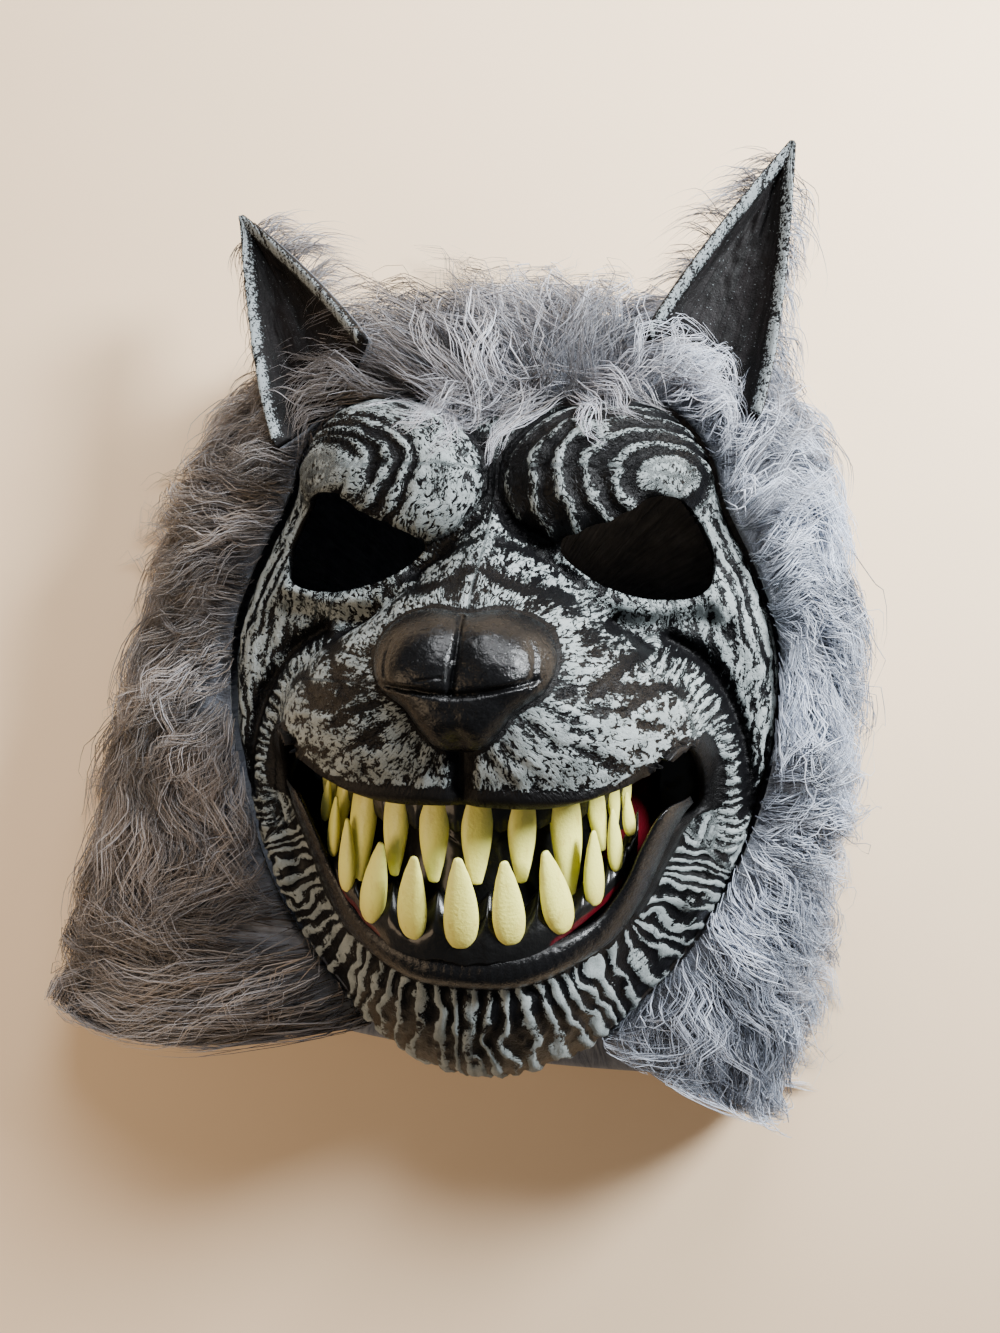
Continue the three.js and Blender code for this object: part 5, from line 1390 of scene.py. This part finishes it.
def build_hood_cloth(finish):
    """The hood's ground: its cloth wall with shallow tufts that lie down the slope."""
    rows, columns = 70, 300
    t, u = np.meshgrid(np.linspace(0, 1, rows), np.linspace(0, 1, columns), indexing="ij")
    at, out = hood_place(u, t), hood_normal(u, t)
    round_hood = u * HOOD_ROUND
    tufts = rough(round_hood + 20 * t, t * HOOD_DOWN, 13, 2) + 0.6 * rough(round_hood + 12 * t, t * 30, 5, 4)
    rise = (1.2 + 1.8 * tufts) * smoothstep(0, 0.08, t) * smoothstep(1, 0.9, t)
    outer = at + out * rise[..., None]
    inner = at - out * HOOD_CLOTH
    for sheet in (outer, inner):
        sheet[..., 2] = np.maximum(sheet[..., 2], PANEL_TOP)
    made = make_wall("hood_cloth", outer, inner, facing_up(outer, grid_faces(rows, columns)), finish,
                     uv=np.column_stack([u.ravel(), t.ravel()]))
    finish_piece(made, "grey_pile", "fur_hood")


def build_back_panel(finish):
    """The pressed pile that the mask lies on: a flat slab inside the hood's edge, its rim rounded and
    its face uneven."""
    u = np.linspace(0, 1, 161)
    edge = np.column_stack([hood_station(u, "x") * HOOD_WIDTH, hood_station(u, "y") * HOOD_LENGTH])
    s = np.linspace(0, 1, 42)[1:-1, None]
    neck = edge[-1] * (1 - s) + edge[0] * s
    neck[:, 1] -= PANEL_NECK_CURVE * np.sin(math.pi * s[:, 0])
    loop = np.vstack([edge, neck])
    radius_at = radius_by_angle(loop, (0, 0))
    share, angle, faces = square_disc(120)
    x, y = share * radius_at(angle) * np.cos(angle), share * radius_at(angle) * np.sin(angle)
    pressed = smoothstep(1.0, 0.975, share)
    top = 2.6 + (PANEL_THICKNESS - 3.2 + 0.5 * rough(x, y, 16, 1)) * pressed
    low = (1 - pressed) * 1.8
    made = make_wall("back_panel_cloth", np.column_stack([x, y, top]), np.column_stack([x, y, low]), faces,
                     finish, uv=np.column_stack([angle / (2 * math.pi) + 0.5, share]))
    finish_piece(made, "back_cloth", "back_panel")


def cad_box():
    """The low and high corners of the solids' box in millimetres, before the mask is centred."""
    return [np.array(corner) / MM - MASK_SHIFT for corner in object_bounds()]


CAD_BOX = cad_box()


# The hood's pile in pieces: their names and spans of the way round.
PILE_SPANS = (("left_neck", 0.0, 0.22), ("left", 0.22, 0.42), ("crown", 0.42, 0.6), ("right", 0.6, 0.8),
              ("right_neck", 0.8, 1.0))


def pile_coats(settings):
    """The two coats of the pile: short dense hairs under long wavy locks. For each the hairs of a lock and
    their points, sizes in millimetres, how far past the rim hairs may run, as a share of the way down, how
    many locks there are all round and the share of its tone that it keeps. The under coat keeps less: a
    painted shade beneath the long locks."""
    length, wave, lift = settings.pile_length / MM, settings.pile_wave / MM, settings.pile_stand / MM
    return {
        "under": {"hairs": 9, "points": 5, "length": 0.5 * length, "wave": 0.6 * wave, "wave_length": 22,
                  "spread": 5.0, "lift": 0.6 * lift, "thick": 2.0, "past_rim": -0.03,
                  "locks": settings.under_locks, "shade": 0.75},
        "top": {"hairs": settings.hairs_per_lock, "points": 9, "length": length, "wave": wave,
                "wave_length": 29, "spread": 3.0, "lift": lift, "thick": 1.0, "past_rim": -0.035,
                "locks": settings.locks, "shade": 1.0},
    }


def build_hood_pile(settings, finish):
    """The hood's pile in pieces round it, and at the crown a fringe that falls forward between the brows."""
    rng = np.random.default_rng(settings.seed)
    for coat_name, coat in pile_coats(settings).items():
        for name, low, high in PILE_SPANS:
            locks = int(coat["locks"] * (high - low))
            u, t = rng.uniform(low, high, locks), rng.uniform(0, 1, locks) ** 1.15 * 1.02 - 0.02
            paths = lock_paths(rng, u, t, coat)
            clumps = 0.5 + 0.8 * rough(u * HOOD_ROUND, t * HOOD_DOWN, 18, 1, 2) + rng.normal(0, 0.17, locks)
            tone = np.repeat(clumps, coat["hairs"])
            # The share of the hood's left side, away from the key light, where shade is painted on the pile.
            side = np.repeat(smoothstep(0.66, 0.34, u), coat["hairs"])
            if name == "crown" and coat_name == "top":
                more = locks // 5
                u, t = rng.uniform(0.43, 0.515, more), rng.uniform(0.0, 0.1, more)
                fringe = dict(coat, length=0.62 * coat["length"], lift=0.7 * coat["lift"], past_rim=-0.5)
                lean = np.where(u > 0.5, 1, -1) * math.pi * rng.uniform(0.55, 0.8, more)
                paths = np.concatenate([paths, lock_paths(rng, u, t, fringe, lean)])
                tone = np.concatenate([tone, np.repeat(rng.normal(0.55, 0.15, more), coat["hairs"])])
                side = np.concatenate([side, np.full(more * coat["hairs"], 0.6)])
            # Painted shade: warm gives the left side the brown-grey shaded copy, and the tone is made darker
            # there. The clumps and random draws are the pile's own tone.
            warm = np.clip(0.1 + 0.75 * side + rng.normal(0, 0.12, len(tone)), 0, 1)
            tone = tone + 0.08 - 0.16 * side + rng.normal(0, 0.1, len(tone))
            # Painted shade: the under coat's tone is cut to its shade share, darker beneath the long locks.
            tone = np.clip(tone, 0, 1) * coat["shade"]
            made = make_pile(f"hood_pile_{coat_name}_{name}", lift_over_face(paths), rng, settings, finish,
                             tone, warm, coat["thick"])
            finish_piece(made, "grey_pile")


def build_ear_pile(name, settings, finish):
    """The pile behind an ear: hairs that grow from its back, hang towards its base and show past both
    edges."""
    ear = EARS[name]
    rng = np.random.default_rng(settings.seed + len(name))
    locks, per_lock, count = settings.ear_locks, 8, 9
    v = rng.uniform(0.0, 0.97, locks)
    edge = np.where(rng.random(locks) < 0.55, 1.0, 0.0)
    u = np.clip(edge + (1 - 2 * edge) * rng.uniform(0, 0.45, locks), 0, 1)
    s = np.linspace(0, 1, count)[None, None, :, None]
    v_hair = np.clip(v[:, None] + rng.normal(0, 0.02, (locks, per_lock)), 0, 0.98)
    u_hair = np.clip(u[:, None] + rng.normal(0, 0.05, (locks, per_lock)), 0.0, 1.0)
    root = ear_place(ear, u_hair, v_hair, EAR_WALL + 2.0)[:, :, None]
    across, up, front = ear_matrix(ear).T
    outward = ear["side"] * np.sign(2 * edge - 1)[:, None, None, None] * across
    length = (settings.pile_length / MM * rng.uniform(0.4, 0.8, locks))[:, None, None, None]
    out_share, up_share = (rng.uniform(low, high, locks)[:, None, None, None]
                           for low, high in ((0.45, 1.0), (-0.3, 0.8)))
    jitter = rng.normal(0, 0.1, (locks, per_lock, 1, 3))
    start_way = outward * out_share + up * up_share - front * 0.25 + jitter
    end_way = outward * 0.15 - up * 1.0 - front * 0.3 + jitter
    turns = rng.uniform(0.9, 1.7, (locks, 1, 1, 1))
    start = rng.uniform(0, 1, (locks, 1, 1, 1))
    wave = settings.pile_wave / MM * 0.7 * np.sin(2 * math.pi * (turns * s + start))
    side_way = np.cross(start_way, front)
    narrow = 1 - 0.7 * s
    paths = (root * narrow + root.mean(axis=1, keepdims=True) * (1 - narrow)
             + start_way * length * (s - 0.5 * s**2) + end_way * length * 0.5 * s**2 + side_way * wave * s)
    paths = paths.reshape(-1, count, 3)
    tone = np.clip(np.repeat(rng.normal(0.5, 0.2, locks), per_lock), 0, 1)
    # Painted shade: the left ear's pile, away from the key light, takes more of the brown-grey shaded copy
    # than the right one.
    warm = np.clip(rng.normal(0.75 if name == "left" else 0.35, 0.15, len(tone)), 0, 1)
    finish_piece(make_pile(f"{name}_ear_pile", paths, rng, settings, finish, tone, warm), "grey_pile")


# Settings, operators and the panel

def colour_property(name, text, default):
    return bpy.props.FloatVectorProperty(name=name, description=text, default=default, size=3, min=0, max=1,
                                         subtype="COLOR")


def length_property(name, text, default):
    return bpy.props.FloatProperty(name=name, description=text, default=default * MM, min=0, unit="LENGTH",
                                   subtype="DISTANCE")


class MaskFaceSettings(bpy.types.PropertyGroup):
    """Sizes and colours of the moulded face."""
    face_grid: bpy.props.IntProperty(name="Grid", description="Points along each side of the face's grid",
                                     default=240, min=60, max=320)
    wall: length_property("Wall", "Thickness of the moulding", 2.6)
    brow_depth: length_property("Brow ridges", "Depth of the arcs on the brows", 2.0)
    cheek_depth: length_property("Cheek ridges", "Depth of the ridges on the cheeks", 0.95)
    jaw_depth: length_property("Jaw ridges", "Depth of the ridges on the jaw and chin", 1.2)
    paint: colour_property("Paint", "Grey brushed over the moulding", (0.22, 0.25, 0.25))
    paint_light: colour_property("Light paint", "Grey where the paint is thick", (0.30, 0.335, 0.335))
    black: colour_property("Moulding", "Black of the grooves", (0.0025, 0.0025, 0.003))
    black_bare: colour_property("Bare moulding", "Black of the smooth edges", (0.004, 0.0038, 0.004))
    gloss: colour_property("Gloss", "Black of the nose and the lower lip", (0.003, 0.003, 0.0033))


class MaskMouthSettings(bpy.types.PropertyGroup):
    """Sizes and colours inside the mouth."""
    wall: length_property("Wall", "Thickness of the moulding that the lining seats behind", 2.6)
    tooth: colour_property("Teeth", "Cream of the teeth", (0.88, 0.85, 0.2))
    tooth_stain: colour_property("Stain", "Darker cream near the roots", (0.62, 0.51, 0.10))
    lining_red: colour_property("Lining red", "Red paint of the lining", (0.09, 0.003, 0.008))
    lining_black: colour_property("Lining black", "Black of the lining", (0.005, 0.005, 0.005))


class MaskEarSettings(bpy.types.PropertyGroup):
    """Colours of the moulded ears."""
    ear_dark: colour_property("Hollow", "Dark of the ear's hollow", (0.003, 0.0027, 0.0028))
    ear_light: colour_property("Furrows", "Lighter tone on the hollow's furrows", (0.009, 0.0075, 0.008))
    rim_paint: colour_property("Rim", "Grey brushed over the rim", (0.24, 0.27, 0.28))


class MaskPileSettings(bpy.types.PropertyGroup):
    """Sizes and colours of the pile."""
    seed: bpy.props.IntProperty(name="Seed", description="Start of the random draws", default=5)
    locks: bpy.props.IntProperty(name="Locks", description="Long locks all round the hood", default=1400)
    under_locks: bpy.props.IntProperty(name="Under locks", description="Short locks under the long ones",
                                       default=950)
    hairs_per_lock: bpy.props.IntProperty(name="Hairs", description="Hairs in each long lock", default=10)
    ear_locks: bpy.props.IntProperty(name="Ear locks", description="Locks behind each ear", default=120)
    pile_length: length_property("Length", "Length of a long hair as it lies", 54)
    pile_wave: length_property("Wave", "How far a lock waves to each side", 3.4)
    pile_stand: length_property("Stand", "How far a lock stands off the cloth", 9.5)
    pile_reach: length_property("Reach", "How far hairs may stand past the solids", 10)
    hair_width: length_property("Hair", "Width of a hair", 0.3)
    root_colour: colour_property("Root", "Grey near the cloth", (0.085, 0.095, 0.12))
    tip_colour: colour_property("Tip", "Grey at the tips", (0.72, 0.79, 0.93))
    shaded_root: colour_property("Warm root", "Brown-grey near the cloth", (0.07, 0.056, 0.046))
    # The warm brown-grey root and tip are painted shade: the pile on the side away from the key light. Root
    # and tip above are the cool copy, the pile where the key light falls.
    shaded_tip: colour_property("Warm tip", "Brown-grey at the tips", (0.33, 0.265, 0.215))
    ground_light: colour_property("Ground", "Lighter streaks of the ground", (0.24, 0.25, 0.28))


class MaskStageSettings(bpy.types.PropertyGroup):
    """The floor, the lights and the camera."""
    floor_colour: colour_property("Floor", "Pale floor", (0.78, 0.58, 0.38))
    camera_height: length_property("Camera", "Height of the camera over the floor", 478)
    lens: bpy.props.FloatProperty(name="Lens", description="Focal length on a 36 mm sensor", default=36.1)
    key_power: bpy.props.FloatProperty(name="Key", description="Power of the main light", default=34.0)
    fill_power: bpy.props.FloatProperty(name="Fill", description="Power of the warm fill", default=3.5)
    sky: bpy.props.FloatProperty(name="Sky", description="Strength of the even light", default=0.14)


class MASK_OT_face(bpy.types.Operator):
    """Builds the moulded face, the nose pad and the lower lip."""
    bl_idname = "mask.face"
    bl_label = "Face"

    def execute(self, context):
        settings = context.scene.mask_face
        finish_piece(build_face(settings), "painted_moulding", "face_shell")
        finish_piece(build_nose(settings), "gloss_black", "nose")
        finish_piece(build_lower_lip(settings), "gloss_black", "lower_lip")
        return {"FINISHED"}


class MASK_OT_mouth(bpy.types.Operator):
    """Builds the mouth's lining, the gums and the teeth."""
    bl_idname = "mask.mouth"
    bl_label = "Mouth"

    def execute(self, context):
        settings = context.scene.mask_mouth
        finish_piece(build_lining(settings), "mouth_paint", "mouth_lining")
        finish = tooth_finish("Cream teeth", settings)
        for row in tooth_rows():
            build_teeth(*row, finish)
        build_gum("upper_gum", settings)
        build_gum("lower_gum", settings)
        return {"FINISHED"}


class MASK_OT_ears(bpy.types.Operator):
    """Builds both moulded ears."""
    bl_idname = "mask.ears"
    bl_label = "Ears"

    def execute(self, context):
        settings = context.scene.mask_ears
        finish = ear_finish("Ear moulding", settings)
        for name in EARS:
            build_ear(name, finish)
        return {"FINISHED"}


class MASK_OT_hood(bpy.types.Operator):
    """Builds the hood's cloth, the back panel and the cloth behind the ears."""
    bl_idname = "mask.hood"
    bl_label = "Hood"

    def execute(self, context):
        settings = context.scene.mask_pile
        finish = cloth_finish("Pile ground", settings)
        build_hood_cloth(finish)
        build_back_panel(finish)
        for name in EARS:
            build_ear_back(name, finish)
        return {"FINISHED"}


class MASK_OT_pile(bpy.types.Operator):
    """Builds the long pile on the hood and behind the ears."""
    bl_idname = "mask.pile"
    bl_label = "Pile"

    def execute(self, context):
        settings = context.scene.mask_pile
        finish = pile_finish("Long pile", settings)
        build_hood_pile(settings, finish)
        for name in EARS:
            build_ear_pile(name, settings, finish)
        return {"FINISHED"}


# The lights' places in metres, diameters and colours, the place that all of them face, and the floor's side
# in millimetres.
LIGHTS = {
    "key": ((0.70, 0.42, 0.54), 0.3, (0.93, 0.97, 1.0)),
    "fill": ((-0.62, -0.2, 0.5), 0.5, (1.0, 0.74, 0.48)),
    "top": ((0.1, 0.75, 0.6), 0.5, (0.95, 0.97, 1.0)),
}
LIGHTS_AIM = (0, 0, 0.06)
FLOOR_SIDE = 3000.0


def area_light(name, place, aim, size, power, colour):
    """A large soft light at a place in metres that faces another."""
    data = bpy.data.lights.new(name, "AREA")
    data.shape, data.size, data.energy, data.color = "DISK", size, power, colour
    made = bpy.data.objects.new(name, data)
    made.location = place
    way = np.array(aim) - np.array(place)
    flat = math.hypot(way[0], way[1])
    made.rotation_euler = (math.atan2(flat, -way[2]), 0, math.atan2(-way[0], way[1]))
    bpy.context.scene.collection.objects.link(made)


class MASK_OT_stage(bpy.types.Operator):
    """Lays the floor and sets the lights and the camera."""
    bl_idname = "mask.stage"
    bl_label = "Stage"

    def execute(self, context):
        settings = context.scene.mask_stage
        half = FLOOR_SIDE / 2
        ends = np.array([(-half, -half, 0), (half, -half, 0), (half, half, 0), (-half, half, 0)])
        floor = make_mesh("floor", ends - MASK_SHIFT, [(0, 1, 2, 3)], floor_finish("Pale floor", settings),
                          smooth=False)
        powers = {"key": settings.key_power, "fill": settings.fill_power, "top": 0.35 * settings.key_power}
        for name, (place, size, colour) in LIGHTS.items():
            area_light(f"{name} light", place, LIGHTS_AIM, size, powers[name], colour)
        world = bpy.data.worlds.new("studio")
        world.use_nodes = True
        background = world.node_tree.nodes["Background"]
        background.inputs["Color"].default_value = (0.86, 0.92, 1.0, 1)
        background.inputs["Strength"].default_value = settings.sky
        context.scene.world = world
        data = bpy.data.cameras.new("camera")
        data.lens, data.sensor_width, data.sensor_fit = settings.lens, 36.0, "HORIZONTAL"
        data.clip_start, data.clip_end = 0.02, 20
        camera = bpy.data.objects.new("camera", data)
        camera.location = (MASK_SHIFT[0] * MM, MASK_SHIFT[1] * MM, settings.camera_height)
        context.scene.collection.objects.link(camera)
        context.scene.camera = camera
        return {"FINISHED"}


class MASK_PT_panel(bpy.types.Panel):
    """Lists the mask's operators and sizes."""
    bl_idname = "MASK_PT_panel"
    bl_label = "Werewolf mask"
    bl_space_type = "VIEW_3D"
    bl_region_type = "UI"
    bl_category = "Mask"

    def draw(self, context):
        for kind in OPERATORS:
            self.layout.operator(kind.bl_idname)
        for name in GROUPS:
            group = getattr(context.scene, name)
            box = self.layout.box()
            for key in group.__annotations__:
                box.prop(group, key)


GROUPS = {"mask_face": MaskFaceSettings, "mask_mouth": MaskMouthSettings, "mask_ears": MaskEarSettings,
          "mask_pile": MaskPileSettings, "mask_stage": MaskStageSettings}
OPERATORS = (MASK_OT_face, MASK_OT_mouth, MASK_OT_ears, MASK_OT_hood, MASK_OT_pile, MASK_OT_stage)


def register():
    for group in GROUPS.values():
        bpy.utils.register_class(group)
    for kind in OPERATORS + (MASK_PT_panel,):
        bpy.utils.register_class(kind)
    for name, group in GROUPS.items():
        setattr(bpy.types.Scene, name, bpy.props.PointerProperty(type=group))


def unregister():
    for name in GROUPS:
        delattr(bpy.types.Scene, name)
    for kind in OPERATORS + (MASK_PT_panel,):
        bpy.utils.unregister_class(kind)
    for group in GROUPS.values():
        bpy.utils.unregister_class(group)


def main():
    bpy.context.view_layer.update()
    register()
    bpy.ops.mask.face()
    bpy.ops.mask.mouth()
    bpy.ops.mask.ears()
    bpy.ops.mask.hood()
    bpy.ops.mask.pile()
    bpy.ops.mask.stage()


if __name__ == "__main__":
    main()
